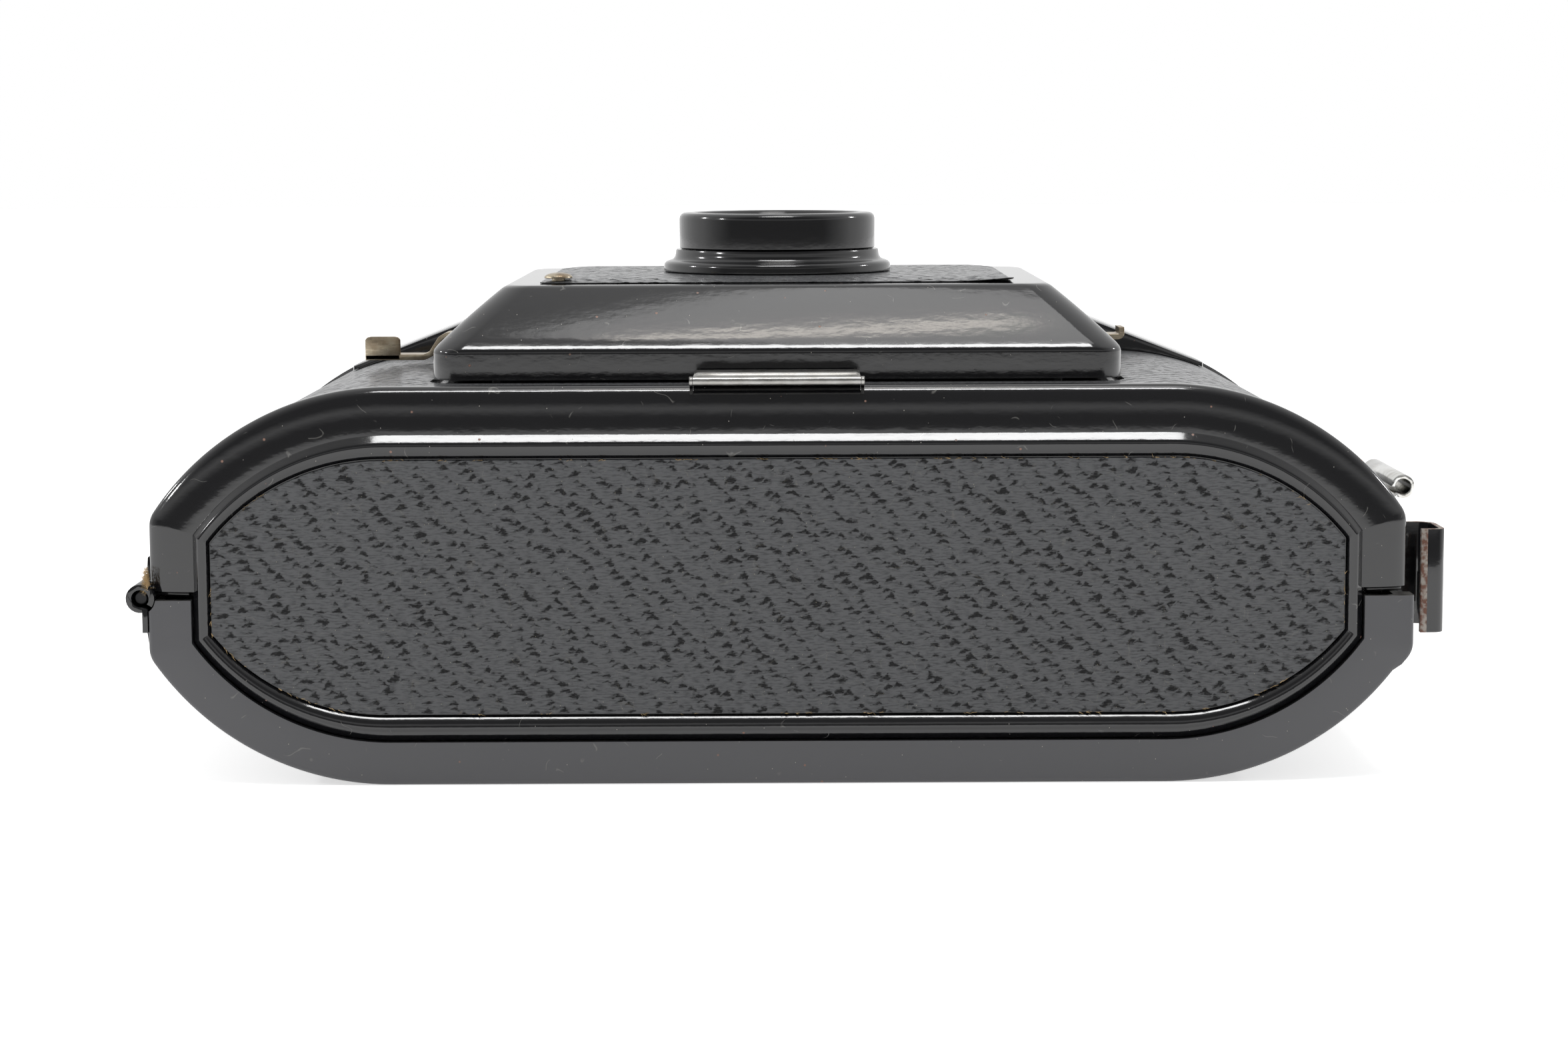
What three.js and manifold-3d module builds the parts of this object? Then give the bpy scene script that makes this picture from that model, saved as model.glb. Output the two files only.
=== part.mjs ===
// A collapsible roll-film box camera, lying on its back with the lens up and its front pushed in.
// X runs across the body, Y from the bottom end to the top end, and Z up along the lens axis.
// Lengths are in millimetres. The origin is the middle of the face that the camera rests on.

import * as THREE from "three";
import { mergeVertices } from "three/addons/utils/BufferGeometryUtils.js";
import Module from "manifold-3d";

const wasm = await Module();
wasm.setup();

// Driving sizes of the body
const bodyWidth = 139.2;
const bodyLength = 91;
const bodyThickness = 44.2;
const shoulderReach = 26.6; // how far the round shoulder comes in from the side
const shoulderOver = 5; // the shoulder's radius beyond that reach
const sideCornerRadius = 3;
const seamHeight = 21;
const seamGap = 0.7;

// Stock and clearances
const sheet = 0.9; // painted steel sheet
const wrapSheet = 0.81; // sheet of the shell that wraps the front
const thinSheet = 0.65; // sheet of lugs, hinge leaves and levers
const leatherThickness = 0.5;
const glueGap = 0.05; // between a piece and the one that it is fixed to
const runningGap = 0.4; // between pieces that move past each other
const overrun = 1; // how far a cutter reaches past what it cuts
const smallestRadius = 0.3;
const weldDistance = 1e-4;

// End caps and their raised, leather-covered panels
const panelRise = 0.8; // the panel's lip stands this far out of the cap's face
const panelInset = 5.45; // from the body's outline to the panel's
const panelGap = 0.65; // between the panel and the back cover's end flange
const lipWidth = 1.8;
const lipRound = 0.4;
const recessDepth = 0.95;
const skirtDepth = 3.6;
const capDepth = 3.2;
const capRollAcross = 5.2; // the rim rolls over from the side to the face in this distance
const capRollDepth = 1.8;

// Leather on the front and the back
const leatherInset = 0.4; // how far the front leather lies below the end caps' rims
const backRimWidth = 3.4;
const backEdgeRadius = 0.5;
const flangeDrop = 0.4; // the back's end flange lies this far behind the panel's lip

// Light trap inside the seam
const trapThickness = 0.6;
const trapOverlap = 2.2;
const trapRise = 3;

// Hinge along the left side
const hingeRadius = 1.6;
const hingeBore = 0.85;
const hingePinRadius = 0.7;
const hingeOut = 0.85; // from the side of the body out to the pin
const hingeLeafHeight = 4.8;
const hingeFrontLeafHeight = 3;
const knuckleCount = 5;

// Spools, rollers and the film gate
const spoolSideRoom = 5.8;
const spoolFlangeRadius = 11.8;
const spoolFlangeThickness = 0.8;
const spoolCoreRadius = 4.2;
const spoolEndRoom = 7.65; // from the end of the body to the end of the spool
const spoolBore = 2.3;
const spoolBoreDepth = 4;
const studRadius = 1.9;
const studReach = 2.6;
const studFootRadius = 4.5;
const rollerRadius = 2.2;
const axleRadius = 0.9;
const axleBore = 1.2;
const rollerEndGap = 1.6;
const gateHeight = 8.9; // underside of the film gate
const gateThickness = 0.8;
const gateMargin = 9; // gate plate beyond the picture at each end
const gateSideMargin = 9.9;
const frameWall = 0.8;
const frameGap = 0.2; // between the tube's stop flange and the frame's walls
const frameSpoolGap = 3.3;
const frameEndInset = 4.1;
const frameEndHeight = 15;
const frameEndReach = 5.1;
const rollerOut = 2.7; // roller axis beyond the frame's side wall
const rollerLift = 2.5; // roller axis above the film gate's underside

// Telescoping front
const frontEndRoom = 13; // from the bottom end to the front housing
const housingOverhang = 6.25; // housing beyond the tube across the body
const housingOverhangY = 4;
const housingRimHeight = 3.25;
const housingSlopeRise = 7.15;
const housingSlopeRunX = 7.85;
const housingSlopeRunY = 7;
const housingCorner = 3.5;
const housingTopCorner = 3;
const housingTopRound = 1.15; // how far the rounding of the top edge reaches along the slope and the top
const housingLift = 0.3; // above the front leather
const tubeCorner = 4;
const tubeWall = 0.8;
const tubeFloorGap = 2.3;
const tubePlateDrop = 1.9; // tube's front plate above the housing's lower edge
const stopFlangeReach = 2.4;
const stopFlangeThickness = 0.8;
const collarWall = 2;
const collarHeight = 3.2;
const collarGap = 0.5;

// Front panel and lens
const panelMargin = 3.8;
const panelCorner = 0.8;
const flangeRadius = 13.85;
const flangeHeight = 2.7;
const flangeFoot = 0.7;
const flangeCoveShare = 1.6;
const flangeWaistShare = 1.2;
const flangeNeckShare = 0.6;
const ringRadius = 11.95;
const ringHeight = 4.4;
const ringLip = 0.6;
const ringRoundShare = 0.3;
const ringMouthRadius = 10;
const lensRadius = 8;
const lensSeat = 0.9;
const lensEdge = 1.1;
const lensCrown = 0.9;
const lensRadiusShares = [0, 0.35, 0.7, 1];
const lensHollowShare = 0.55;
const lensBulgeShare = 0.9;
const apertureRadius = 6;
const rivetHeadRadius = 1.65;
const rivetHeadHeight = 0.67;
const rivetShankRadius = 0.8;
const rivetMargin = 2.1;
const rivetTailShare = 1.4;
const rivetDomeShares = [
  [0.92, 0.5],
  [0.6, 0.88],
  [0, 1],
];

// Shutter work behind the front plate of the housing
const bladeThickness = 0.4;
const bladeLift = 0.3;
const bladeRadius = 8.2;
const bladeArm = 12.5;
const bladeHub = 2.4;
const bladePinRadius = 0.9;
const bladeBore = 1.2;
const bladeArmShare = 0.8;
const leverThickness = 0.7;
const leverLift = 1.1; // lever above the tube's front plate
const leverWidth = 4;
const leverPivotOut = 18; // pivot left of the lens axis
const leverHub = 3.2;
const leverOut = 3.2; // how far the upper arm stands out of the housing
const leverDrop = 2.7;
const leverBendShares = [
  [0.35, 0],
  [0.6, 0.15],
  [1, 0.85],
  [1.25, 1],
];
const leverLowerReach = 3.7;
const tabLength = 4.3;
const tabHeight = 2.9;
const leverSwing = 12; // degrees
const springWire = 0.5;
const springRadius = 2.1;
const springTurns = 3;
const springPitch = 0.75;
const springLegShares = [
  [3.4, -1],
  [-1.6, -1.2],
];
const timeTabReach = 3.6;
const timeTabInside = 5;
const timeTabWidth = 4.6;
const timeTabY = 4.5;
const timeTravel = 4;
const timeTabRise = 0.9;
const timeLift = 0.3; // time lever above the tube's front plate

// Stand foot on the front, by the bottom end
const standWidth = 19.3;
const standEdge = 0.4; // from the bottom end to the foot's rolled edge
const standSheet = 0.4;
const standBase = 0.35; // thickness of the bracket's base
const standBaseDepth = 4.5;
const standEar = 0.6;
const standPinRadius = 0.25;
const standKnuckle = 0.5;
const standLength = 10.9;

// Hood over the front edge of the top end, and the finder on the top end
const hoodHalf = 55;
const hoodFlatHalf = 31;
const hoodRise = 7.3;
const hoodWingDepth = 23.7;
const hoodGap = 0.9;
const hoodEdge = 0.4; // thickness of the hood's skirt over the shoulders
const finderWidth = 24;
const finderDepth = 11.4;
const finderMargin = 1.4; // between the finder and the panel's lip
const finderWall = 1.4;
const finderLens = 1.2;
const finderSeat = 0.5;
const finderLip = 0.7;

// Winding knob
const knobRadius = 9;
const knobHeight = 6.4;
const knobLift = 0.6;
const knobRibs = 24;
const knobRibDepth = 0.35;
const knobEdge = 0.7;
const shaftRadius = 1.5;
const bushRadius = 3.2;
const bushFlangeRadius = 4.6;
const bushFlange = 0.8;
const bushProud = 0.35;
const bushBore = 1.85;
const keyWidth = 6;
const keyThickness = 1.2;
const keyReach = 2.4;
const keyGap = 0.3;

// Back cover fittings
const windowRadius = 4;
const windowRim = 1;
const windowThickness = 0.6;
const windowOut = 28.5;
const plateHalf = 36;
const plateThickness = 0.8;
const plateFilmGap = 0.35;
const plateEndMargin = 3;
const bowHalf = 19;
const bowFoot = 3.5;
const bowWidth = 12;
const bowSheet = 0.3;
const lipOut = 0.7; // the back's right-hand edge stands proud of the front shell
const lipTaper = 6;

// Latch on the right side
const latchDrop = 5.5; // latch pin below the seam
const latchPinRadius = 0.7;
const latchBore = 0.8;
const latchKnuckle = 1.25;
const latchHalf = 10;
const latchRollOut = 5.2; // roll's centre beyond the latch's plate
const latchRollUp = 12.9; // roll's centre above the pin
const latchRollRadius = 1.5;
const latchEar = 0.6;
const latchBendShares = [
  [0, 0.05],
  [0, 0.32],
  [0.06, 0.53],
  [0.2, 0.7],
  [0.45, 0.83],
];
const latchRollTurnShares = [0.64, 1.525];
const latchEarHalf = 2;
const bracketHalfHeight = 4;
const keeperHalf = 5;
const keeperBottom = 1.5; // keeper above the seam
const keeperHeight = 2.6;
const keeperOut = 1;

// Strap lugs on the right side
const lugHeight = 11.7;
const lugBottom = 16;
const lugEndRoom = 5; // from the end of the body to the lug
const lugLoopLength = 7.4;
const lugOut = 4.9;
const lugFoot = 4.2;
const lugTuck = 2.1; // how far the free edge stands off the body's side
const lugHeadRoom = 0.5; // lug off the back cover's proud edge
const lugBendShare = 0.75;

// Steps of the round stretches
const shoulderSteps = 8;
const capRollSteps = 4;
const cornerSteps = 2;
const roundSteps = 32;
const smallSteps = 16;
const fineSteps = 10;
const wireSteps = 6;

// Places worked out from the driving sizes
const halfWidth = bodyWidth / 2;
const halfLength = bodyLength / 2;
const middle = bodyThickness / 2;
const shoulderRadius = shoulderReach + shoulderOver;
const capFace = halfLength - panelRise;
const wrapInset = leatherInset + leatherThickness + glueGap;
const wrapInner = wrapInset + wrapSheet;
const wrapEnd = capFace - sheet - capRollDepth;
const backEnd = halfLength - flangeDrop;
const backGroove = leatherThickness + glueGap;
const backInner = backGroove + sheet;
const spoolX = halfWidth - spoolSideRoom - spoolFlangeRadius;
const spoolEnd = halfLength - spoolEndRoom;
const frameOuter = spoolX - spoolFlangeRadius - frameSpoolGap;
const frameInner = frameOuter - frameWall;
const tubeHalfX = frameInner - stopFlangeReach - collarGap - frameGap;
const tubeHalfY = halfLength - frontEndRoom - housingOverhangY;
const housingHalfX = tubeHalfX + housingOverhang;
const housingHalfY = tubeHalfY + housingOverhangY;
const leatherTop = bodyThickness - leatherInset;
const housingBase = leatherTop + housingLift;
const housingFold = housingBase + housingRimHeight;
const housingTop = housingFold + housingSlopeRise;
const topHalfX = housingHalfX - housingSlopeRunX;
const topHalfY = housingHalfY - housingSlopeRunY;
const platform = housingBase + tubePlateDrop; // upper face of the tube's front plate
const gateTop = gateHeight + gateThickness;
const tubeBottom = gateTop + tubeFloorGap;
const wrapUnder = bodyThickness - wrapInner;
const collarBottom = wrapUnder - glueGap - collarHeight;
const panelTop = housingTop + glueGap + leatherThickness;
const flangeBase = panelTop + glueGap;
const ringBase = flangeBase + flangeHeight + glueGap;
const latchHeight = seamHeight - latchDrop;
const seamTop = seamHeight + seamGap / 2;
const seamBottom = seamHeight - seamGap / 2;
const hingeX = -(halfWidth + hingeOut);
const frameEnd = halfLength - frameEndInset;
const rollerX = frameOuter + rollerOut;
const rollerZ = gateHeight + rollerLift;
const leverZ = platform + leverLift;
const plateTop = gateHeight - plateFilmGap;

// Materials
function enamel(colour, roughness) {
  return new THREE.MeshStandardMaterial({ color: colour, roughness, metalness: 0 });
}
function metal(colour, roughness) {
  return new THREE.MeshStandardMaterial({ color: colour, roughness, metalness: 1 });
}
const glossBlack = enamel(0x17171a, 0.18);
const satinBlack = enamel(0x2a2a2c, 0.5);
const leather = enamel(0x3b3b3d, 0.75);
const agedNickel = metal(0x9a8f7e, 0.35);
const brightNickel = metal(0xd8d8d4, 0.15);
const bareSteel = metal(0x8c8c8c, 0.4);
function glass(colour, roughness, opacity) {
  return new THREE.MeshStandardMaterial({ color: colour, roughness, transparent: true, opacity });
}
const redFilm = glass(0x7a1410, 0.2, 0.7);
const clearGlass = glass(0xe8eef0, 0.05, 0.35);

// Solids from three.js geometry, and back

function toSolid(geometry) {
  const bare = geometry.clone();
  bare.deleteAttribute("normal");
  bare.deleteAttribute("uv");
  const merged = mergeVertices(bare, weldDistance);
  const index = merged.index.array;
  const kept = [];
  for (let i = 0; i < index.length; i += 3) {
    const [a, b, c] = [index[i], index[i + 1], index[i + 2]];
    if (a !== b && b !== c && c !== a) kept.push(a, b, c);
  }
  const vertProperties = merged.attributes.position.array;
  return new wasm.Manifold(new wasm.Mesh({ numProp: 3, vertProperties, triVerts: new Uint32Array(kept) }));
}

function toGeometry(solid) {
  const data = solid.getMesh();
  const geometry = new THREE.BufferGeometry();
  geometry.setAttribute("position", new THREE.BufferAttribute(new Float32Array(data.vertProperties), 3));
  geometry.setIndex(new THREE.BufferAttribute(new Uint32Array(data.triVerts), 1));
  geometry.computeVertexNormals();
  return geometry;
}

function piece(name, solid, material) {
  const mesh = new THREE.Mesh(toGeometry(solid), material);
  mesh.name = name;
  return mesh;
}

function prism(outline, depth) {
  return new THREE.ExtrudeGeometry(new THREE.Shape(outline), { depth, bevelEnabled: false });
}

// A prism on an outline in the XY plane
function extrudeZ(outline, from, to) {
  const geometry = prism(outline, to - from);
  return toSolid(geometry.translate(0, 0, from));
}

// A prism on an outline in the XZ plane
function extrudeY(outline, from, to) {
  const geometry = prism(outline, to - from);
  return toSolid(geometry.rotateX(Math.PI / 2).translate(0, to, 0));
}

// A prism on an outline in the YZ plane
const turnToX = new THREE.Matrix4().makeBasis(
  new THREE.Vector3(0, 1, 0),
  new THREE.Vector3(0, 0, 1),
  new THREE.Vector3(1, 0, 0),
);
function extrudeX(outline, from, to) {
  const geometry = prism(outline, to - from);
  return toSolid(geometry.applyMatrix4(turnToX).translate(from, 0, 0));
}

function block(x0, x1, y0, y1, z0, z1) {
  const geometry = new THREE.BoxGeometry(x1 - x0, y1 - y0, z1 - z0);
  return toSolid(geometry.translate((x0 + x1) / 2, (y0 + y1) / 2, (z0 + z1) / 2));
}

function rodZ(radius, from, to, steps) {
  const geometry = new THREE.CylinderGeometry(radius, radius, to - from, steps);
  return toSolid(geometry.rotateX(Math.PI / 2).translate(0, 0, (from + to) / 2));
}

function rodY(radius, from, to, steps) {
  const geometry = new THREE.CylinderGeometry(radius, radius, to - from, steps);
  return toSolid(geometry.translate(0, (from + to) / 2, 0));
}

// A turned solid: the profile is a closed run of radius and height, in order up the outside
function turnedZ(profile, steps) {
  const points = profile.map(([r, z]) => new THREE.Vector2(r, z));
  return toSolid(new THREE.LatheGeometry(points, steps).rotateX(Math.PI / 2));
}

// A solid through outlines with equally many points, stacked up Z
function loftZ(sections) {
  const count = sections[0][0].length;
  const positions = sections.flatMap(([outline, height]) => outline.flatMap((p) => [p.x, p.y, height]));
  const index = [];
  for (let level = 0; level < sections.length - 1; level++) {
    for (let i = 0; i < count; i++) {
      const next = (i + 1) % count;
      const [a, b] = [level * count + i, level * count + next];
      index.push(a, b, b + count, a, b + count, a + count);
    }
  }
  const top = (sections.length - 1) * count;
  for (const [a, b, c] of THREE.ShapeUtils.triangulateShape(sections[0][0], [])) {
    index.push(c, b, a);
  }
  for (const [a, b, c] of THREE.ShapeUtils.triangulateShape(sections[sections.length - 1][0], [])) {
    index.push(top + a, top + b, top + c);
  }
  const geometry = new THREE.BufferGeometry();
  geometry.setAttribute("position", new THREE.BufferAttribute(new Float32Array(positions), 3));
  geometry.setIndex(index);
  return geometry;
}

// The same along Y, for outlines in the XZ plane, given from the highest Y to the lowest
function loftY(sections) {
  const turned = sections.map(([outline, y]) => [outline, -y]);
  return toSolid(loftZ(turned).rotateX(Math.PI / 2));
}

// Outlines

function bodyOutline(inset) {
  const arc = shoulderRadius - inset;
  const corner = Math.max(sideCornerRadius - inset, smallestRadius);
  const arcX = halfWidth - shoulderReach;
  const arcZ = bodyThickness - shoulderRadius;
  const cornerX = halfWidth - inset - corner;
  const rise = Math.sqrt((arc - corner) ** 2 - (cornerX - arcX) ** 2);
  const turn = Math.atan2(rise, cornerX - arcX);
  const quarter = [];
  for (let i = 0; i < cornerSteps; i++) {
    const angle = (turn * i) / cornerSteps;
    quarter.push([cornerX + corner * Math.cos(angle), arcZ + rise + corner * Math.sin(angle)]);
  }
  for (let i = 0; i <= shoulderSteps; i++) {
    const angle = turn + ((Math.PI / 2 - turn) * i) / shoulderSteps;
    quarter.push([arcX + arc * Math.cos(angle), arcZ + arc * Math.sin(angle)]);
  }
  const back = [...quarter].reverse();
  return [
    ...quarter.map(([x, z]) => new THREE.Vector2(x, z)),
    ...back.map(([x, z]) => new THREE.Vector2(-x, z)),
    ...quarter.map(([x, z]) => new THREE.Vector2(-x, bodyThickness - z)),
    ...back.map(([x, z]) => new THREE.Vector2(x, bodyThickness - z)),
  ];
}

function rectangle(halfX, halfY, radius, steps = 4) {
  const outline = [];
  const corners = [
    [1, 1],
    [-1, 1],
    [-1, -1],
    [1, -1],
  ];
  corners.forEach(([sx, sy], corner) => {
    for (let i = 0; i <= steps; i++) {
      const angle = ((corner + i / steps) * Math.PI) / 2;
      const x = sx * (halfX - radius) + radius * Math.cos(angle);
      const y = sy * (halfY - radius) + radius * Math.sin(angle);
      outline.push(new THREE.Vector2(x, y));
    }
  });
  return outline;
}

function circle(radius, steps, x = 0, y = 0) {
  const outline = [];
  for (let i = 0; i < steps; i++) {
    const angle = (2 * Math.PI * i) / steps;
    outline.push(new THREE.Vector2(x + radius * Math.cos(angle), y + radius * Math.sin(angle)));
  }
  return outline;
}

function arc(x, y, radius, from, to, steps) {
  const path = [];
  for (let i = 0; i <= steps; i++) {
    const angle = from + ((to - from) * i) / steps;
    path.push(new THREE.Vector2(x + radius * Math.cos(angle), y + radius * Math.sin(angle)));
  }
  return path;
}

// The outline of a sheet of one thickness that follows a path
function strip(path, thickness) {
  const left = [];
  const right = [];
  path.forEach((p, i) => {
    const before = path[Math.max(i - 1, 0)];
    const after = path[Math.min(i + 1, path.length - 1)];
    const along = after.clone().sub(before).normalize();
    const across = new THREE.Vector2(-along.y, along.x).multiplyScalar(thickness / 2);
    left.push(p.clone().add(across));
    right.push(p.clone().sub(across));
  });
  return [...right, ...left.reverse()];
}

const upperPart = block(
  -halfWidth - overrun,
  halfWidth + overrun,
  -halfLength - overrun,
  halfLength + overrun,
  seamTop,
  bodyThickness + overrun,
);
const lowerPart = block(
  -halfWidth - lipOut - overrun,
  halfWidth + lipOut + overrun,
  -halfLength - overrun,
  halfLength + overrun,
  -overrun,
  seamBottom,
);
const notchEnd = halfLength + overrun;
const notchRod = rodY(hingeRadius + runningGap, -notchEnd, notchEnd, smallSteps);
const hingeNotch = notchRod.translate([hingeX, 0, seamHeight]);

// One end cap, drawn for the bottom end: a shallow pan, and the raised panel that reaches past the seam
function endCap() {
  const roll = (inset) => {
    const sections = [];
    for (let i = 0; i <= capRollSteps; i++) {
      const angle = (Math.PI * i) / (2 * capRollSteps);
      const across = inset + (capRollAcross - inset) * (1 - Math.cos(angle));
      sections.push([bodyOutline(across), -capFace + inset + capRollDepth * (1 - Math.sin(angle))]);
    }
    return sections;
  };
  const pan = loftY([[bodyOutline(0), -capFace + capDepth], ...roll(0)]);
  const inside = loftY([[bodyOutline(sheet), -capFace + capDepth + overrun], ...roll(sheet)]);
  const panel = loftY([
    [bodyOutline(panelInset), -halfLength + skirtDepth],
    [bodyOutline(panelInset), -halfLength + lipRound],
    [bodyOutline(panelInset + lipRound), -halfLength],
  ]);
  const seat = -halfLength + recessDepth;
  const recess = extrudeY(bodyOutline(panelInset + lipWidth), -halfLength - overrun, seat);
  const floor = seat + sheet;
  const hollow = extrudeY(bodyOutline(panelInset + sheet), floor, -halfLength + skirtDepth + overrun);
  const rim = pan.subtract(inside).intersect(upperPart);
  return rim.add(panel).subtract(recess).subtract(hollow).subtract(hingeNotch);
}

function endInlay() {
  const face = -halfLength + recessDepth - glueGap;
  return extrudeY(bodyOutline(panelInset + lipWidth + glueGap), face - leatherThickness, face);
}

// The front shell: the sheet that wraps the front and both sides, with the mouth for the tube
function frontShell() {
  const outer = extrudeY(bodyOutline(wrapInset), -wrapEnd, wrapEnd);
  const inner = extrudeY(bodyOutline(wrapInner), -wrapEnd - overrun, wrapEnd + overrun);
  const trapEnd = halfLength - skirtDepth;
  const trapOuter = extrudeY(bodyOutline(wrapInner - glueGap), -trapEnd, trapEnd);
  const trapInner = extrudeY(bodyOutline(wrapInner + trapThickness), -trapEnd - overrun, trapEnd + overrun);
  const trapFoot = seamHeight - trapOverlap;
  const trapBand = block(-halfWidth, halfWidth, -trapEnd, trapEnd, trapFoot, seamHeight + trapRise);
  const trap = trapOuter.subtract(trapInner).intersect(trapBand);
  const mouth = extrudeZ(
    rectangle(tubeHalfX + collarGap, tubeHalfY + collarGap, tubeCorner + collarGap),
    middle,
    bodyThickness + overrun,
  );
  const wrap = outer.subtract(inner).intersect(upperPart).subtract(mouth);
  return wrap.subtract(hingeNotch).add(trap);
}

function frontLeather() {
  const end = capFace - capDepth - glueGap;
  const outer = extrudeY(bodyOutline(leatherInset), -end, end);
  const inner = extrudeY(bodyOutline(leatherInset + leatherThickness), -end - overrun, end + overrun);
  const around = extrudeZ(
    rectangle(housingHalfX + runningGap, housingHalfY + runningGap, housingCorner),
    middle,
    bodyThickness + overrun,
  );
  const underHood = block(
    -hoodHalf - glueGap,
    hoodHalf + glueGap,
    capFace - hoodWingDepth - glueGap,
    end + overrun,
    middle,
    bodyThickness + overrun,
  );
  const wrap = outer.subtract(inner).intersect(upperPart);
  return wrap.subtract(around).subtract(underHood).subtract(hingeNotch);
}

// The hood: a low roof across the front edge of the top end, cut out around the front housing
function hood() {
  const roof = (inset) => {
    const foot = middle;
    const bodyAtFoot = bodyOutlineHeight(hoodHalf);
    return [
      new THREE.Vector2(-hoodHalf + inset, foot),
      new THREE.Vector2(hoodHalf - inset, foot),
      new THREE.Vector2(hoodHalf - inset, bodyAtFoot - inset / 2),
      new THREE.Vector2(hoodFlatHalf - inset / 4, bodyThickness + hoodRise - inset),
      new THREE.Vector2(-hoodFlatHalf + inset / 4, bodyThickness + hoodRise - inset),
      new THREE.Vector2(-hoodHalf + inset, bodyAtFoot - inset / 2),
    ];
  };
  const front = capFace - hoodWingDepth;
  const back = capFace - capRollDepth;
  const cutout = (wall) =>
    block(
      -housingHalfX - hoodGap - wall,
      housingHalfX + hoodGap + wall,
      front - overrun,
      housingHalfY + hoodGap + wall,
      middle,
      bodyThickness + hoodRise + overrun,
    );
  const sheetEnd = halfLength + overrun;
  const hoodZone = block(-hoodHalf, hoodHalf, -sheetEnd, sheetEnd, middle, bodyThickness + hoodRise);
  const skirt = extrudeY(bodyOutline(-hoodEdge), front, back).intersect(hoodZone);
  const outer = extrudeY(roof(0), front, back).add(skirt).subtract(cutout(0));
  const inner = extrudeY(roof(sheet), front + sheet, back - sheet).subtract(cutout(sheet));
  const overWrap = extrudeY(bodyOutline(wrapInset - glueGap), front - overrun, capFace + overrun);
  const overCap = extrudeY(bodyOutline(-glueGap), capFace - capDepth - glueGap, capFace + overrun);
  return outer.subtract(inner).subtract(overWrap).subtract(overCap);
}

// Height of the body's front surface at a distance from the middle
function bodyOutlineHeight(x) {
  const across = x - (halfWidth - shoulderReach);
  return bodyThickness - shoulderRadius + Math.sqrt(shoulderRadius ** 2 - across ** 2);
}

// The finder: a square tube on the top end that looks along the lens axis
const finderBottom = panelInset + lipWidth + finderMargin;
const finderTop = bodyThickness - finderBottom;
const finderFoot = halfLength - recessDepth + glueGap + leatherThickness + glueGap;
const finderMiddle = finderFoot + finderDepth / 2;

function finderTube() {
  const outline = rectangle(finderWidth / 2, finderDepth / 2, finderLip);
  const tube = extrudeZ(outline, finderBottom, finderTop);
  const bore = block(
    -finderWidth / 2 + finderWall + finderLip,
    finderWidth / 2 - finderWall - finderLip,
    -finderDepth / 2 + finderWall + finderLip,
    finderDepth / 2 - finderWall - finderLip,
    finderBottom - overrun,
    finderTop + overrun,
  );
  const seat = (from, to) =>
    block(
      -finderWidth / 2 + finderWall,
      finderWidth / 2 - finderWall,
      -finderDepth / 2 + finderWall,
      finderDepth / 2 - finderWall,
      from,
      to,
    );
  const depth = finderLens + finderSeat;
  return tube
    .subtract(bore)
    .subtract(seat(finderTop - depth, finderTop + overrun))
    .subtract(seat(finderBottom - overrun, finderBottom + depth));
}

function finderGlass(from) {
  const halfX = finderWidth / 2 - finderWall - glueGap;
  const halfY = finderDepth / 2 - finderWall - glueGap;
  return block(-halfX, halfX, -halfY, halfY, from, from + finderLens);
}

// The film frame: two walls beside the tube, the gate that the film lies on, and the rollers' end plates
function filmFrame() {
  const end = frameEnd;
  const wall = (from, to) => block(from, to, -end, end, gateHeight, wrapUnder - glueGap);
  const gate = block(-frameOuter, frameOuter, -end, end, gateHeight, gateTop);
  const picture = block(
    -frameInner + gateSideMargin,
    frameInner - gateSideMargin,
    -end + gateMargin,
    end - gateMargin,
    gateHeight - overrun,
    gateTop + overrun,
  );
  const reach = frameOuter + frameEndReach;
  const endPlate = (from, to) => block(-reach, reach, from, to, gateHeight, gateHeight + frameEndHeight);
  let frame = wall(-frameOuter, -frameInner)
    .add(wall(frameInner, frameOuter))
    .add(gate)
    .add(endPlate(-end, -end + frameWall))
    .add(endPlate(end - frameWall, end))
    .subtract(picture);
  for (const side of [-1, 1]) {
    const bore = rodY(axleBore, -end - overrun, end + overrun, smallSteps);
    frame = frame.subtract(bore.translate([side * rollerX, 0, rollerZ]));
  }
  return frame;
}

function filmRoller() {
  const half = frameEnd - frameWall - rollerEndGap;
  const axleEnd = frameEnd - smallestRadius / 2;
  return rodY(rollerRadius, -half, half, smallSteps).add(rodY(axleRadius, -axleEnd, axleEnd, smallSteps));
}

function tubeCollar() {
  const inner = rectangle(tubeHalfX + collarGap, tubeHalfY + collarGap, tubeCorner + collarGap);
  const outer = rectangle(tubeHalfX + collarWall, tubeHalfY + collarWall, tubeCorner + collarWall);
  const top = collarBottom + collarHeight;
  return extrudeZ(outer, collarBottom, top).subtract(extrudeZ(inner, collarBottom - overrun, top + overrun));
}

// A stud that carries one end of a spool, drawn for the bottom end with its axis on Y
function spoolStud() {
  const foot = -halfLength + recessDepth + sheet + glueGap;
  const shoulder = -spoolEnd - runningGap;
  const stud = rodY(studRadius, shoulder - glueGap, shoulder + studReach, smallSteps);
  return rodY(studFootRadius, foot, shoulder, smallSteps).add(stud);
}

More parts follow.
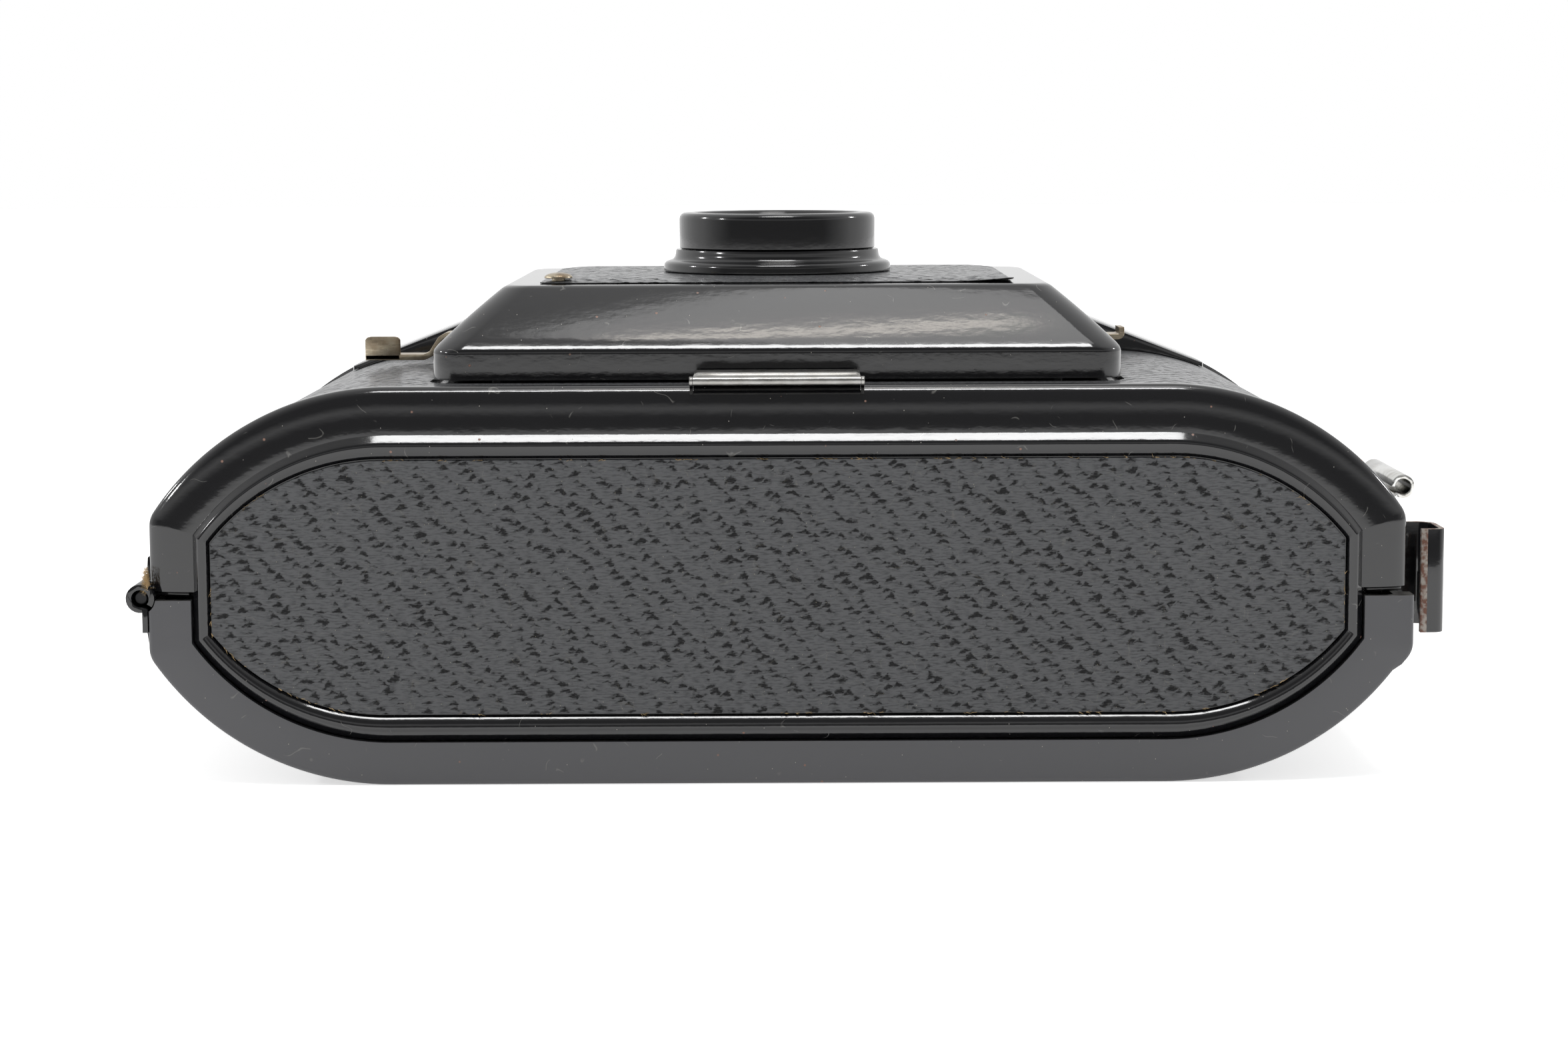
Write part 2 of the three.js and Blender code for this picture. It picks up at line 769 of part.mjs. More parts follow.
function takeUpSpool() {
  const flange = (from, to) => rodY(spoolFlangeRadius, from, to, roundSteps);
  const core = rodY(spoolCoreRadius, -spoolEnd + glueGap, spoolEnd - glueGap, smallSteps);
  const bore = rodY(spoolBore, -spoolEnd - overrun, -spoolEnd + spoolBoreDepth, smallSteps);
  const slot = block(
    -keyWidth / 2 - keyGap,
    keyWidth / 2 + keyGap,
    spoolEnd - keyReach - keyGap,
    spoolEnd + overrun,
    -keyThickness / 2 - keyGap,
    keyThickness / 2 + keyGap,
  );
  return flange(-spoolEnd, -spoolEnd + spoolFlangeThickness)
    .add(flange(spoolEnd - spoolFlangeThickness, spoolEnd))
    .add(core)
    .subtract(bore)
    .subtract(slot);
}

const knobFoot = halfLength + knobLift;

function windShaft() {
  const key = block(
    -keyWidth / 2,
    keyWidth / 2,
    spoolEnd - keyReach,
    spoolEnd + keyGap + glueGap,
    -keyThickness / 2,
    keyThickness / 2,
  );
  const rod = rodY(shaftRadius, spoolEnd + keyGap, knobFoot + knobHeight / 2, smallSteps);
  return rod.add(key);
}

function windKnob() {
  const ribbed = (inset) => {
    const outline = [];
    for (let i = 0; i < 2 * knobRibs; i++) {
      const angle = (Math.PI * i) / knobRibs;
      const radius = knobRadius - inset - (i % 2) * knobRibDepth;
      outline.push(new THREE.Vector2(radius * Math.cos(angle), radius * Math.sin(angle)));
    }
    return outline;
  };
  const body = loftY([
    [ribbed(knobEdge), knobFoot + knobHeight],
    [ribbed(0), knobFoot + knobHeight - knobEdge],
    [ribbed(0), knobFoot + knobEdge],
    [ribbed(knobEdge), knobFoot],
  ]);
  const boreEnd = knobFoot + knobHeight / 2 + glueGap;
  return body.subtract(rodY(shaftRadius + glueGap, knobFoot - overrun, boreEnd, smallSteps));
}

function knobBush() {
  const inside = halfLength - recessDepth - sheet - glueGap;
  const outside = halfLength - recessDepth + glueGap + leatherThickness + bushProud;
  return rodY(bushRadius, inside - bushFlange, outside, smallSteps)
    .add(rodY(bushFlangeRadius, inside - bushFlange, inside, smallSteps))
    .subtract(rodY(bushBore, inside - bushFlange - overrun, outside + overrun, smallSteps));
}

// The stand foot's bracket, foot and pin lie about the pin's axis
const standPinZ = glueGap + standKnuckle;
const standInner = standWidth / 2 - standEar - glueGap;

function standBracket() {
  const behind = standKnuckle + runningGap / 2;
  const top = -standPinZ + standBase;
  const base = block(-standWidth / 2, standWidth / 2, behind, behind + standBaseDepth, -standPinZ, top);
  const ear = (from) =>
    block(from, from + standEar, -standKnuckle, behind + standBaseDepth / 2, -standPinZ, standKnuckle);
  const bore = extrudeX(circle(standPinRadius + glueGap, fineSteps), -standWidth, standWidth);
  return base.add(ear(-standWidth / 2)).add(ear(standWidth / 2 - standEar)).subtract(bore);
}

function standFoot() {
  const half = standInner - runningGap / 2;
  const knuckle = extrudeX(circle(standKnuckle, fineSteps), -half, half);
  const outline = rectangle(half, standLength, 2 * standKnuckle);
  const plate = extrudeZ(outline, standKnuckle - standSheet, standKnuckle);
  const behindPin = block(-standWidth, standWidth, 0, 2 * standLength, -standLength, standLength);
  const bore = extrudeX(circle(standPinRadius + glueGap, fineSteps), -standWidth, standWidth);
  return plate.intersect(behindPin).add(knuckle).subtract(bore);
}

function standPin() {
  return extrudeX(circle(standPinRadius, fineSteps), -standWidth / 2 + glueGap, standWidth / 2 - glueGap);
}

// A strap lug, drawn from its foot on the body's side towards the bottom end, with its free edge tucked in
function strapLug() {
  const wallX = halfWidth - leatherInset + glueGap + thinSheet / 2;
  const outX = halfWidth + lugOut - thinSheet / 2;
  const edgeX = halfWidth + lugTuck;
  const start = -halfLength + lugEndRoom;
  const bend = (outX - edgeX) * lugBendShare;
  const far = start + lugLoopLength;
  const path = [
    new THREE.Vector2(wallX, far + lugFoot),
    new THREE.Vector2(wallX, far + thinSheet),
    new THREE.Vector2(wallX + thinSheet, far - thinSheet / 2),
    ...arc(outX - bend, far - bend, bend, Math.PI / 2, 0, cornerSteps * 2),
    ...arc(outX - bend, start + bend, bend, 0, -Math.PI / 2, cornerSteps * 2),
    new THREE.Vector2(edgeX, start - thinSheet / 3),
  ];
  const band = extrudeZ(strip(path, thinSheet), lugBottom, lugBottom + lugHeight);
  const overBack = block(
    0,
    halfWidth + lipOut + lugHeadRoom,
    -halfLength,
    halfLength,
    lugBottom - overrun,
    seamTop + smallestRadius,
  );
  return band.subtract(overBack);
}

// Hinge leaves: knuckles on the pin's axis, and a leaf against the body's side
const knucklePitch = (2 * backEnd) / knuckleCount;

function hingeLeaf(first, leafFrom, leafTo) {
  const plateX = hingeOut - glueGap - thinSheet;
  let leaf = block(plateX, plateX + thinSheet, -backEnd, backEnd, leafFrom, leafTo);
  leaf = leaf.subtract(rodY(hingeRadius - glueGap, -halfLength, halfLength, smallSteps));
  for (let i = 0; i < knuckleCount; i++) {
    const from = -backEnd + i * knucklePitch;
    const to = from + knucklePitch;
    const mine = i % 2 === first;
    if (mine) {
      leaf = leaf.add(rodY(hingeRadius, from + runningGap / 2, to - runningGap / 2, smallSteps));
    } else {
      const room = hingeRadius + runningGap;
      leaf = leaf.subtract(rodY(room, from - runningGap / 2, to + runningGap / 2, smallSteps));
    }
  }
  return leaf.subtract(rodY(hingeBore, -halfLength, halfLength, smallSteps));
}

// The back cover: a tray with flat end flanges that frame the lower half of the end panels
function backCover() {
  const shell = loftY([
    [bodyOutline(backEdgeRadius), backEnd],
    [bodyOutline(0), backEnd - backEdgeRadius],
    [bodyOutline(0), -backEnd + backEdgeRadius],
    [bodyOutline(backEdgeRadius), -backEnd],
  ]);
  const inside = extrudeY(bodyOutline(backInner), -backEnd + sheet, backEnd - sheet);
  const frame = extrudeY(bodyOutline(panelInset - panelGap), -backEnd - overrun, backEnd + overrun);
  const grooveEnd = backEnd - backRimWidth;
  const grooveOuter = extrudeY(bodyOutline(-overrun), -grooveEnd, grooveEnd);
  const grooveInner = extrudeY(bodyOutline(backGroove), -grooveEnd - overrun, grooveEnd + overrun);
  const edge = [
    new THREE.Vector2(halfWidth - backGroove, seamBottom - lipTaper),
    new THREE.Vector2(halfWidth - smallestRadius / 4, seamBottom - lipTaper),
    new THREE.Vector2(halfWidth + lipOut, seamBottom - lipTaper / 3),
    new THREE.Vector2(halfWidth + lipOut, seamBottom),
    new THREE.Vector2(halfWidth - backGroove, seamBottom),
  ];
  const nearEdge = extrudeY(edge, -backEnd, -grooveEnd);
  const farEdge = extrudeY(edge, grooveEnd, backEnd);
  let cover = shell
    .subtract(inside)
    .subtract(frame)
    .subtract(grooveOuter.subtract(grooveInner))
    .intersect(lowerPart)
    .subtract(hingeNotch)
    .add(nearEdge)
    .add(farEdge);
  for (const side of [-1, 1]) {
    const hole = rodZ(windowRadius, -overrun, backInner + overrun, smallSteps);
    cover = cover.subtract(hole.translate([side * windowOut, 0, 0]));
  }
  return cover;
}

function backLeather() {
  const end = backEnd - backRimWidth - glueGap;
  const outer = extrudeY(bodyOutline(0), -end, end);
  const inner = extrudeY(bodyOutline(leatherThickness), -end - overrun, end + overrun);
  let sheetOfLeather = outer.subtract(inner).intersect(lowerPart).subtract(hingeNotch);
  for (const side of [-1, 1]) {
    const hole = rodZ(windowRadius + glueGap, -overrun, backInner, smallSteps);
    sheetOfLeather = sheetOfLeather.subtract(hole.translate([side * windowOut, 0, 0]));
  }
  return sheetOfLeather;
}

function pressurePlate() {
  const halfY = frameEnd - plateEndMargin;
  let plate = extrudeZ(rectangle(plateHalf, halfY, tubeCorner / 2), plateTop - plateThickness, plateTop);
  for (const side of [-1, 1]) {
    const hole = rodZ(windowRadius + windowRim / 2, 0, plateTop + overrun, smallSteps);
    plate = plate.subtract(hole.translate([side * windowOut, 0, 0]));
  }
  return plate;
}

// A bow spring that rests on the back cover and bears on the pressure plate
function pressureSpring() {
  const floor = backInner + glueGap + bowSheet / 2;
  const crown = plateTop - plateThickness - glueGap - bowSheet / 2;
  const path = [];
  for (let i = 0; i <= smallSteps; i++) {
    const share = i / smallSteps;
    const x = -bowHalf + 2 * bowHalf * share;
    path.push(new THREE.Vector2(x, floor + ((crown - floor) * (1 - Math.cos(2 * Math.PI * share))) / 2));
  }
  path.unshift(new THREE.Vector2(-bowHalf - bowFoot, floor));
  path.push(new THREE.Vector2(bowHalf + bowFoot, floor));
  return extrudeY(strip(path, bowSheet), -bowWidth / 2, bowWidth / 2);
}

// The latch lies about its pin's axis, which is on Y
const latchPlateX = -latchPinRadius;
const latchX = halfWidth + glueGap + thinSheet + glueGap + latchKnuckle;

function latchPlate() {
  const rollX = latchPlateX + latchRollOut;
  const [from, to] = latchRollTurnShares.map((share) => share * 2 * Math.PI);
  const bends = latchBendShares.map(([out, up]) => {
    return new THREE.Vector2(latchPlateX + out * latchRollOut, up * latchRollUp);
  });
  const roll = arc(rollX, latchRollUp, latchRollRadius - thinSheet / 2, from, to, smallSteps);
  const path = [...bends, ...roll];
  const plate = extrudeY(strip(path, thinSheet), -latchHalf, latchHalf);
  const knuckle = rodY(latchKnuckle, -latchHalf, latchHalf, smallSteps);
  return plate.add(knuckle).subtract(rodY(latchBore, -latchHalf - overrun, latchHalf + overrun, smallSteps));
}

function latchBracket() {
  const base = -latchKnuckle - glueGap;
  const reach = latchHalf + runningGap + latchEar;
  const plate = block(base - thinSheet, base, -reach, reach, -bracketHalfHeight, bracketHalfHeight);
  const ear = (from) =>
    block(base - glueGap, latchKnuckle, from, from + latchEar, -latchEarHalf, latchEarHalf);
  return plate
    .add(ear(-reach))
    .add(ear(reach - latchEar))
    .subtract(rodY(latchPinRadius + glueGap, -reach - overrun, reach + overrun, smallSteps));
}

function latchKeeper() {
  const foot = halfWidth - leatherInset + glueGap;
  const bottom = seamHeight + keeperBottom;
  const outline = [
    new THREE.Vector2(foot, bottom),
    new THREE.Vector2(foot + leatherInset + keeperOut, bottom),
    new THREE.Vector2(foot + leatherInset + keeperOut, bottom + keeperHeight / 2),
    new THREE.Vector2(foot, bottom + keeperHeight),
  ];
  return extrudeY(outline, -keeperHalf, keeperHalf);
}

// The front housing: a drawn shell with an upright rim and four sloping sides
function housingLoft(inset, from, foldDrop, top) {
  const corner = Math.max(housingCorner - inset, smallestRadius);
  const topCorner = Math.max(housingTopCorner - inset, smallestRadius);
  const slope = Math.atan2(housingSlopeRise, housingSlopeRunX);
  const out = housingTopRound * Math.cos(slope);
  const down = housingTopRound * Math.sin(slope);
  const ring = (grow, height) => {
    const reach = grow - inset;
    return [rectangle(topHalfX + reach, topHalfY + reach, topCorner), height];
  };
  return toSolid(
    loftZ([
      [rectangle(housingHalfX - inset, housingHalfY - inset, corner), from],
      [rectangle(housingHalfX - inset, housingHalfY - inset, corner), housingFold - foldDrop],
      ring(out, top - down),
      ring((out - housingTopRound) / 4, top - down / 4),
      ring(-housingTopRound, top),
    ]),
  );
}

function frontHousing() {
  let shell = housingLoft(0, housingBase, 0, housingTop).subtract(
    housingLoft(sheet, housingBase - overrun, sheet / 2, housingTop - sheet),
  );
  const under = housingTop - 2 * sheet;
  const over = housingTop + overrun;
  shell = shell.subtract(rodZ(lensRadius - lensSeat, under, over, roundSteps));
  const rivetHole = rodZ(rivetShankRadius + glueGap, under, over, fineSteps);
  shell = shell.subtract(rivetHole.translate(rivetPlace));
  const leverSlot = block(
    -housingHalfX - overrun,
    -housingHalfX + 3 * sheet,
    -leverWidth / 2 - runningGap - leverTipSwing,
    leverWidth / 2 + runningGap,
    leverZ - runningGap,
    leverZ + leverThickness + runningGap,
  );
  const timeSlot = block(
    housingHalfX - 3 * sheet,
    housingHalfX + overrun,
    timeTabY - timeTabWidth / 2 - runningGap,
    timeTabY + timeTabWidth / 2 + timeTravel + runningGap,
    platform + timeLift / 2,
    platform + timeLift + leverThickness + runningGap,
  );
  return shell.subtract(leverSlot).subtract(timeSlot);
}

const panelHalfX = topHalfX - panelMargin;
const panelHalfY = topHalfY - panelMargin;
const rivetPlace = [-(panelHalfX - rivetMargin), -(panelHalfY - rivetMargin), 0];
const leverSlotReach = housingHalfX - leverPivotOut;
const leverTipSwing = leverSlotReach * Math.tan((leverSwing * Math.PI) / 180);

function panelLeather() {
  const from = housingTop + glueGap;
  const lensHole = rodZ(lensRadius, from - overrun, panelTop + overrun, roundSteps);
  const rivetHole = rodZ(rivetShankRadius + glueGap, from - overrun, panelTop + overrun, fineSteps);
  return extrudeZ(rectangle(panelHalfX, panelHalfY, panelCorner, 2), from, panelTop)
    .subtract(lensHole)
    .subtract(rivetHole.translate(rivetPlace));
}

// A dome-headed rivet with its head's underside at height zero
function panelRivet() {
  const length = leatherThickness + sheet + 3 * glueGap;
  const tail = rivetShankRadius * rivetTailShare;
  const dome = rivetDomeShares.map(([out, up]) => [rivetHeadRadius * out, rivetHeadHeight * up]);
  return turnedZ(
    [
      [0, -length - thinSheet],
      [tail, -length - thinSheet],
      [tail, -length],
      [rivetShankRadius, -length],
      [rivetShankRadius, 0],
      [rivetHeadRadius, 0],
      ...dome,
    ],
    smallSteps,
  );
}

function lensFlange() {
  const bore = lensRadius - lensSeat;
  const seat = flangeHeight - lensEdge - glueGap;
  return turnedZ(
    [
      [bore, 0],
      [flangeRadius, 0],
      [flangeRadius, flangeFoot],
      [flangeRadius - flangeFoot, flangeFoot * flangeCoveShare],
      [flangeRadius - flangeFoot * flangeWaistShare, flangeHeight - flangeFoot],
      [ringRadius + flangeFoot * flangeNeckShare, flangeHeight],
      [lensRadius + glueGap, flangeHeight],
      [lensRadius + glueGap, seat],
      [bore, seat],
      [bore, 0],
    ],
    roundSteps,
  );
}

function lensRing() {
  return turnedZ(
    [
      [lensRadius - lensSeat, 0],
      [ringRadius, 0],
      [ringRadius, ringHeight - ringLip],
      [ringRadius - ringLip * ringRoundShare, ringHeight - ringLip * ringRoundShare],
      [ringRadius - ringLip, ringHeight],
      [ringMouthRadius, ringHeight],
      [lensRadius - lensSeat, ringLip * 2],
      [lensRadius - lensSeat, 0],
    ],
    roundSteps,
  );
}

// A meniscus lens, with its edge from height zero to lensEdge
function meniscus() {
  const fall = (share) => lensCrown * share ** 2;
  const outside = (share) => lensEdge + lensCrown * lensBulgeShare - glueGap - fall(share);
  const inside = (share) => (lensCrown - fall(share)) * lensHollowShare;
  const lower = lensRadiusShares.map((share) => [share * lensRadius, inside(share)]);
  const upper = lensRadiusShares.map((share) => [share * lensRadius, outside(share)]).reverse();
  return turnedZ([...lower, ...upper], roundSteps);
}

// The tube that slides in the body, with its stop flange and the plate that carries the shutter
function frontTube() {
  const outline = (grow) => rectangle(tubeHalfX + grow, tubeHalfY + grow, tubeCorner + grow);
  const plateBottom = platform - tubeWall;
  const tube = extrudeZ(outline(0), tubeBottom, platform);
  const bore = extrudeZ(outline(-tubeWall), tubeBottom - overrun, plateBottom);
  const stop = extrudeZ(outline(stopFlangeReach), tubeBottom, tubeBottom + stopFlangeThickness);
  const plateX = housingHalfX - sheet - glueGap;
  const plateY = housingHalfY - sheet - glueGap;
  const plate = extrudeZ(rectangle(plateX, plateY, housingCorner - sheet), plateBottom, platform);
  const aperture = rodZ(apertureRadius, plateBottom - overrun, platform + overrun, roundSteps);
  return tube.add(stop).add(plate).subtract(bore).subtract(aperture);
}

const bladePin = [0, bladeArm];

function pivotPin(radius, headRadius, length, headThickness) {
  const head = rodZ(headRadius, length - headThickness, length, smallSteps);
  return rodZ(radius, 0, length, smallSteps).add(head);
}

function shutterBlade() {
  const disc = circle(bladeRadius, roundSteps, 0, -bladeArm);
  const arm = [
    new THREE.Vector2(-bladeHub, 0),
    new THREE.Vector2(-bladeRadius * bladeArmShare, -bladeArm),
    new THREE.Vector2(bladeRadius * bladeArmShare, -bladeArm),
    new THREE.Vector2(bladeHub, 0),
  ];
  return extrudeZ(disc, 0, bladeThickness)
    .add(extrudeZ(arm, 0, bladeThickness))
    .add(rodZ(bladeHub, 0, bladeThickness, smallSteps))
    .subtract(rodZ(bladeBore, -overrun, overrun, smallSteps));
}

// The release lever about its pivot: hub, upper arm through the housing's side, a step down and a tab
function releaseLever() {
  const tabFrom = -leverSlotReach - leverOut - leverLowerReach - tabLength;
  const top = leverThickness / 2;
  const bends = leverBendShares.map(([out, down]) => {
    return new THREE.Vector2(-leverSlotReach - leverOut * out, top - leverDrop * down);
  });
  const path = [new THREE.Vector2(0, top), ...bends, new THREE.Vector2(tabFrom, top - leverDrop)];
  const arm = extrudeY(strip(path, leverThickness), -leverWidth / 2, leverWidth / 2);
  const tabBottom = -leverDrop;
  const tab = block(
    tabFrom,
    tabFrom + tabLength,
    -leverWidth / 2,
    -leverWidth / 2 + leverThickness,
    tabBottom,
    tabBottom + tabHeight + leverThickness / 2,
  );
  return arm
    .add(tab)
    .add(rodZ(leverHub, 0, leverThickness, smallSteps))
    .subtract(rodZ(bladeBore, -overrun, overrun, smallSteps));
}

// A hairpin spring: turns of round wire about the lever's pivot, and two legs
function leverSpring() {
  const legs = springLegShares.map(([x, y]) => new THREE.Vector3(springRadius * x, springRadius * y, 0));
  const points = [legs[0]];
  const steps = springTurns * fineSteps;
  for (let i = 0; i <= steps; i++) {
    const angle = -Math.PI / 2 + (2 * Math.PI * i) / fineSteps;
    const height = (springPitch * i) / fineSteps;
    points.push(new THREE.Vector3(springRadius * Math.cos(angle), springRadius * Math.sin(angle), height));
  }
  points.push(legs[1].setZ(springPitch * springTurns));
  const curve = new THREE.CatmullRomCurve3(points, false, "catmullrom", 0.3);
  const section = new THREE.Shape(circle(springWire / 2, wireSteps));
  const options = { steps: steps + 2 * wireSteps, extrudePath: curve, bevelEnabled: false };
  return toSolid(new THREE.ExtrudeGeometry(section, options));
}

function timeLever() {
  const arm = extrudeZ(
    rectangle((timeTabReach + timeTabInside) / 2, timeTabWidth / 2, smallestRadius, 2),
    0,
    leverThickness,
  ).translate([housingHalfX + (timeTabReach - timeTabInside) / 2, 0, 0]);
  const tip = block(
    housingHalfX + timeTabReach - leverThickness,
    housingHalfX + timeTabReach,
    -timeTabWidth / 2 + smallestRadius,
    timeTabWidth / 2 - smallestRadius,
    leverThickness / 2,
    leverThickness + timeTabRise,
  );
  return arm.add(tip);
}

// The assembly

function placed(mesh, x, y, z) {
  mesh.position.set(x, y, z);
  return mesh;
}

const camera = new THREE.Group();

const body = new THREE.Group();
const cap = endCap();
const inlay = endInlay();
const knobHole = (radius) =>
  rodY(radius, -halfLength - overrun, -halfLength + skirtDepth, smallSteps).translate([-spoolX, 0, middle]);
body.add(
  piece("front_shell", frontShell(), glossBlack),
  piece("front_leather", frontLeather(), leather),
  piece("bottom_end_cap", cap, glossBlack),
  piece("bottom_inlay", inlay, leather),
  piece("top_hood", hood(), glossBlack),
  piece("film_frame", filmFrame(), satinBlack),
  piece("tube_collar", tubeCollar(), satinBlack),
  piece("latch_keeper", latchKeeper(), agedNickel),
);

// The top end is the bottom end turned round, with a hole for the winding shaft and the hinge's notch
const topEnd = new THREE.Group();
topEnd.rotation.z = Math.PI;
const turnedNotch = hingeNotch.rotate([0, 0, 180]);
topEnd.add(
  piece("top_end_cap", cap.subtract(knobHole(bushRadius + glueGap)).subtract(turnedNotch), glossBlack),
  piece("top_inlay", inlay.subtract(knobHole(bushRadius + glueGap)), leather),
);
body.add(topEnd);

const finder = new THREE.Group();
finder.position.set(0, finderMiddle, 0);
finder.add(
  piece("finder_tube", finderTube(), glossBlack),
  piece("finder_front_lens", finderGlass(finderTop - finderSeat - finderLens), clearGlass),
  piece("finder_rear_lens", finderGlass(finderBottom + finderSeat), clearGlass),
);
body.add(finder);

body.add(
  placed(piece("film_roller_left", filmRoller(), agedNickel), -rollerX, 0, rollerZ),
  placed(piece("film_roller_right", filmRoller(), agedNickel), rollerX, 0, rollerZ),
  placed(piece("supply_stud_bottom", spoolStud(), agedNickel), -spoolX, 0, middle),
  placed(piece("takeup_stud_bottom", spoolStud(), agedNickel), spoolX, 0, middle),
);
const farStud = placed(piece("supply_stud_top", spoolStud(), agedNickel), -spoolX, 0, middle);
farStud.rotation.z = Math.PI;
body.add(farStud);

const lugNear = piece("strap_lug_bottom", strapLug(), glossBlack);
const lugFar = piece("strap_lug_top", strapLug().mirror([0, 1, 0]), glossBlack);
body.add(lugNear, lugFar);

const stand = new THREE.Group();
stand.position.set(0, -halfLength + standEdge + standKnuckle, bodyThickness + glueGap + standPinZ);
stand.add(
  piece("stand_bracket", standBracket(), brightNickel),
  piece("stand_foot", standFoot(), brightNickel),
  piece("stand_pin", standPin(), brightNickel),
);
body.add(stand);
camera.add(body);

const winder = new THREE.Group();
winder.position.set(spoolX, 0, middle);
winder.add(
  piece("takeup_spool", takeUpSpool(), satinBlack),
  piece("wind_shaft", windShaft(), bareSteel),
  piece("wind_knob", windKnob(), glossBlack),
  piece("knob_bush", knobBush(), agedNickel),
);
camera.add(winder);

const back = new THREE.Group();
back.add(
  piece("back_cover", backCover(), satinBlack),
  piece("back_leather", backLeather(), leather),
  piece("pressure_plate", pressurePlate(), satinBlack),
  piece("pressure_spring", pressureSpring(), bareSteel),
);
for (const [name, side] of [
  ["left", -1],
  ["right", 1],
]) {
  const disc = rodZ(windowRadius + windowRim, 0, windowThickness, smallSteps);
  back.add(placed(piece("red_window_" + name, disc, redFilm), side * windowOut, 0, backInner + glueGap));
}
camera.add(back);

const hinge = new THREE.Group();
hinge.position.set(hingeX, 0, seamHeight);
hinge.add(
  piece("hinge_leaf_back", hingeLeaf(0, -hingeRadius - hingeLeafHeight, -hingeRadius / 2), glossBlack),
  piece("hinge_leaf_front", hingeLeaf(1, hingeRadius / 2, hingeRadius + hingeFrontLeafHeight), glossBlack),
  piece("hinge_pin", rodY(hingePinRadius, -backEnd, backEnd, smallSteps), bareSteel),
);
camera.add(hinge);

const latch = new THREE.Group();
latch.position.set(latchX, 0, latchHeight);
const latchPinEnd = latchHalf + runningGap + latchEar;
latch.add(
  piece("back_latch", latchPlate(), agedNickel),
  piece("latch_bracket", latchBracket(), glossBlack),
  piece("latch_pin", rodY(latchPinRadius, -latchPinEnd, latchPinEnd, smallSteps), bareSteel),
);
camera.add(latch);

const front = new THREE.Group();
front.add(
  piece("front_housing", frontHousing(), glossBlack),
  piece("panel_leather", panelLeather(), leather),
  piece("front_tube", frontTube(), satinBlack),
  placed(piece("lens_flange", lensFlange(), glossBlack), 0, 0, flangeBase),
  placed(piece("lens_ring", lensRing(), glossBlack), 0, 0, ringBase),
  placed(piece("lens", meniscus(), clearGlass), 0, 0, flangeBase + flangeHeight - lensEdge),
  placed(piece("shutter_blade", shutterBlade(), bareSteel), ...bladePin, platform + bladeLift),
);
const [rivetX, rivetY] = rivetPlace;
front.add(placed(piece("panel_rivet", panelRivet(), agedNickel), rivetX, rivetY, panelTop + glueGap));
const bladePinLength = bladeLift + bladeThickness + runningGap + thinSheet;
const shutterPin = pivotPin(bladePinRadius, bladeHub, bladePinLength, thinSheet);
front.add(placed(piece("shutter_pin", shutterPin, bareSteel), ...bladePin, platform + glueGap));

const leverPinLength = leverLift + leverThickness + springTurns * springPitch + 4 * springWire;
const leverPin = pivotPin(bladePinRadius, bladePinRadius * 1.5, leverPinLength, thinSheet);
const springFoot = leverZ + leverThickness + springWire;
front.add(
  placed(piece("release_lever", releaseLever(), agedNickel), -leverPivotOut, 0, leverZ),
  placed(piece("lever_pin", leverPin, bareSteel), -leverPivotOut, 0, platform + glueGap),
  placed(piece("lever_spring", leverSpring(), bareSteel), -leverPivotOut, 0, springFoot),
  placed(piece("time_lever", timeLever(), agedNickel), 0, timeTabY, platform + timeLift),
);
camera.add(front);

export default camera;
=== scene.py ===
# %% [markdown]
# # A collapsible roll-film box camera
#
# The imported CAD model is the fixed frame: every piece below sits where its CAD node sits. Pieces
# that show from outside are drawn again here with finer curves, soft edges and wear, and then stand
# for their nodes. The front shell, a few fittings and what lies inside keep their CAD shape and
# only get a finish.
#
# Sizes are in millimetres, as on a drawing, and turn to metres when a mesh is made.

# %% Load the frame
import bisect
import math
import random
from itertools import accumulate

import bmesh
import bpy
from mathutils import Matrix, Vector, noise


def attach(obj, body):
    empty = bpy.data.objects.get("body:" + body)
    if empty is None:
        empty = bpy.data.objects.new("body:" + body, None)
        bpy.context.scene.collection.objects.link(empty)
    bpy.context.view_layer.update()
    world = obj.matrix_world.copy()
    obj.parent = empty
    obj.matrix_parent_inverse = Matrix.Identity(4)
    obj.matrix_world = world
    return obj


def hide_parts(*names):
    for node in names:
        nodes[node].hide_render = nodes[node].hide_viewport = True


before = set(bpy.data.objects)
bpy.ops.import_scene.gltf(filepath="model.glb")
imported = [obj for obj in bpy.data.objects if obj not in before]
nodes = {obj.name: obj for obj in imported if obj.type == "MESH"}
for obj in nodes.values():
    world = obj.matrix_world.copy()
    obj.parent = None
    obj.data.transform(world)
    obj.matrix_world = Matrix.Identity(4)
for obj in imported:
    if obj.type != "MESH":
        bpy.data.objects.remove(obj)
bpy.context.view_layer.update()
MM = 0.001

# %% [markdown]
# ## The stage
#
# The photograph was taken from a little above the table and less than half a metre away. Its
# background is pure white, so floor and backdrop are one white here, and only the soft shadow under
# the round sides shows where the table is.

# %% The camera
PHOTO_WIDTH = 2352
FOCAL_PIXELS = 5000
SENSOR = 36
VIEW_X = 0.9
VIEW_Y = -409.5
VIEW_Z = 71.56
PITCH = 6.628
ROLL = 0.25

lens_data = bpy.data.cameras.new("view")
lens_data.sensor_width = SENSOR
lens_data.lens = FOCAL_PIXELS / PHOTO_WIDTH * SENSOR
lens_data.clip_start = 0.01
view = bpy.data.objects.new("view", lens_data)
bpy.context.scene.collection.objects.link(view)
tilt = Matrix.Rotation(math.radians(90 - PITCH), 4, "X")
lean = Matrix.Rotation(math.radians(ROLL), 4, "Y")
view.matrix_world = Matrix.Translation(Vector((VIEW_X, VIEW_Y, VIEW_Z)) * MM) @ lean @ tilt
bpy.context.scene.camera = view
print("view: lens", round(lens_data.lens, 1), "mm")


# %% [markdown]
# ## Small helpers
#
# Colours are written as sRGB hex, the way a paint card gives them, and one function makes them
# linear. Another adds a shader node with its settings and links.

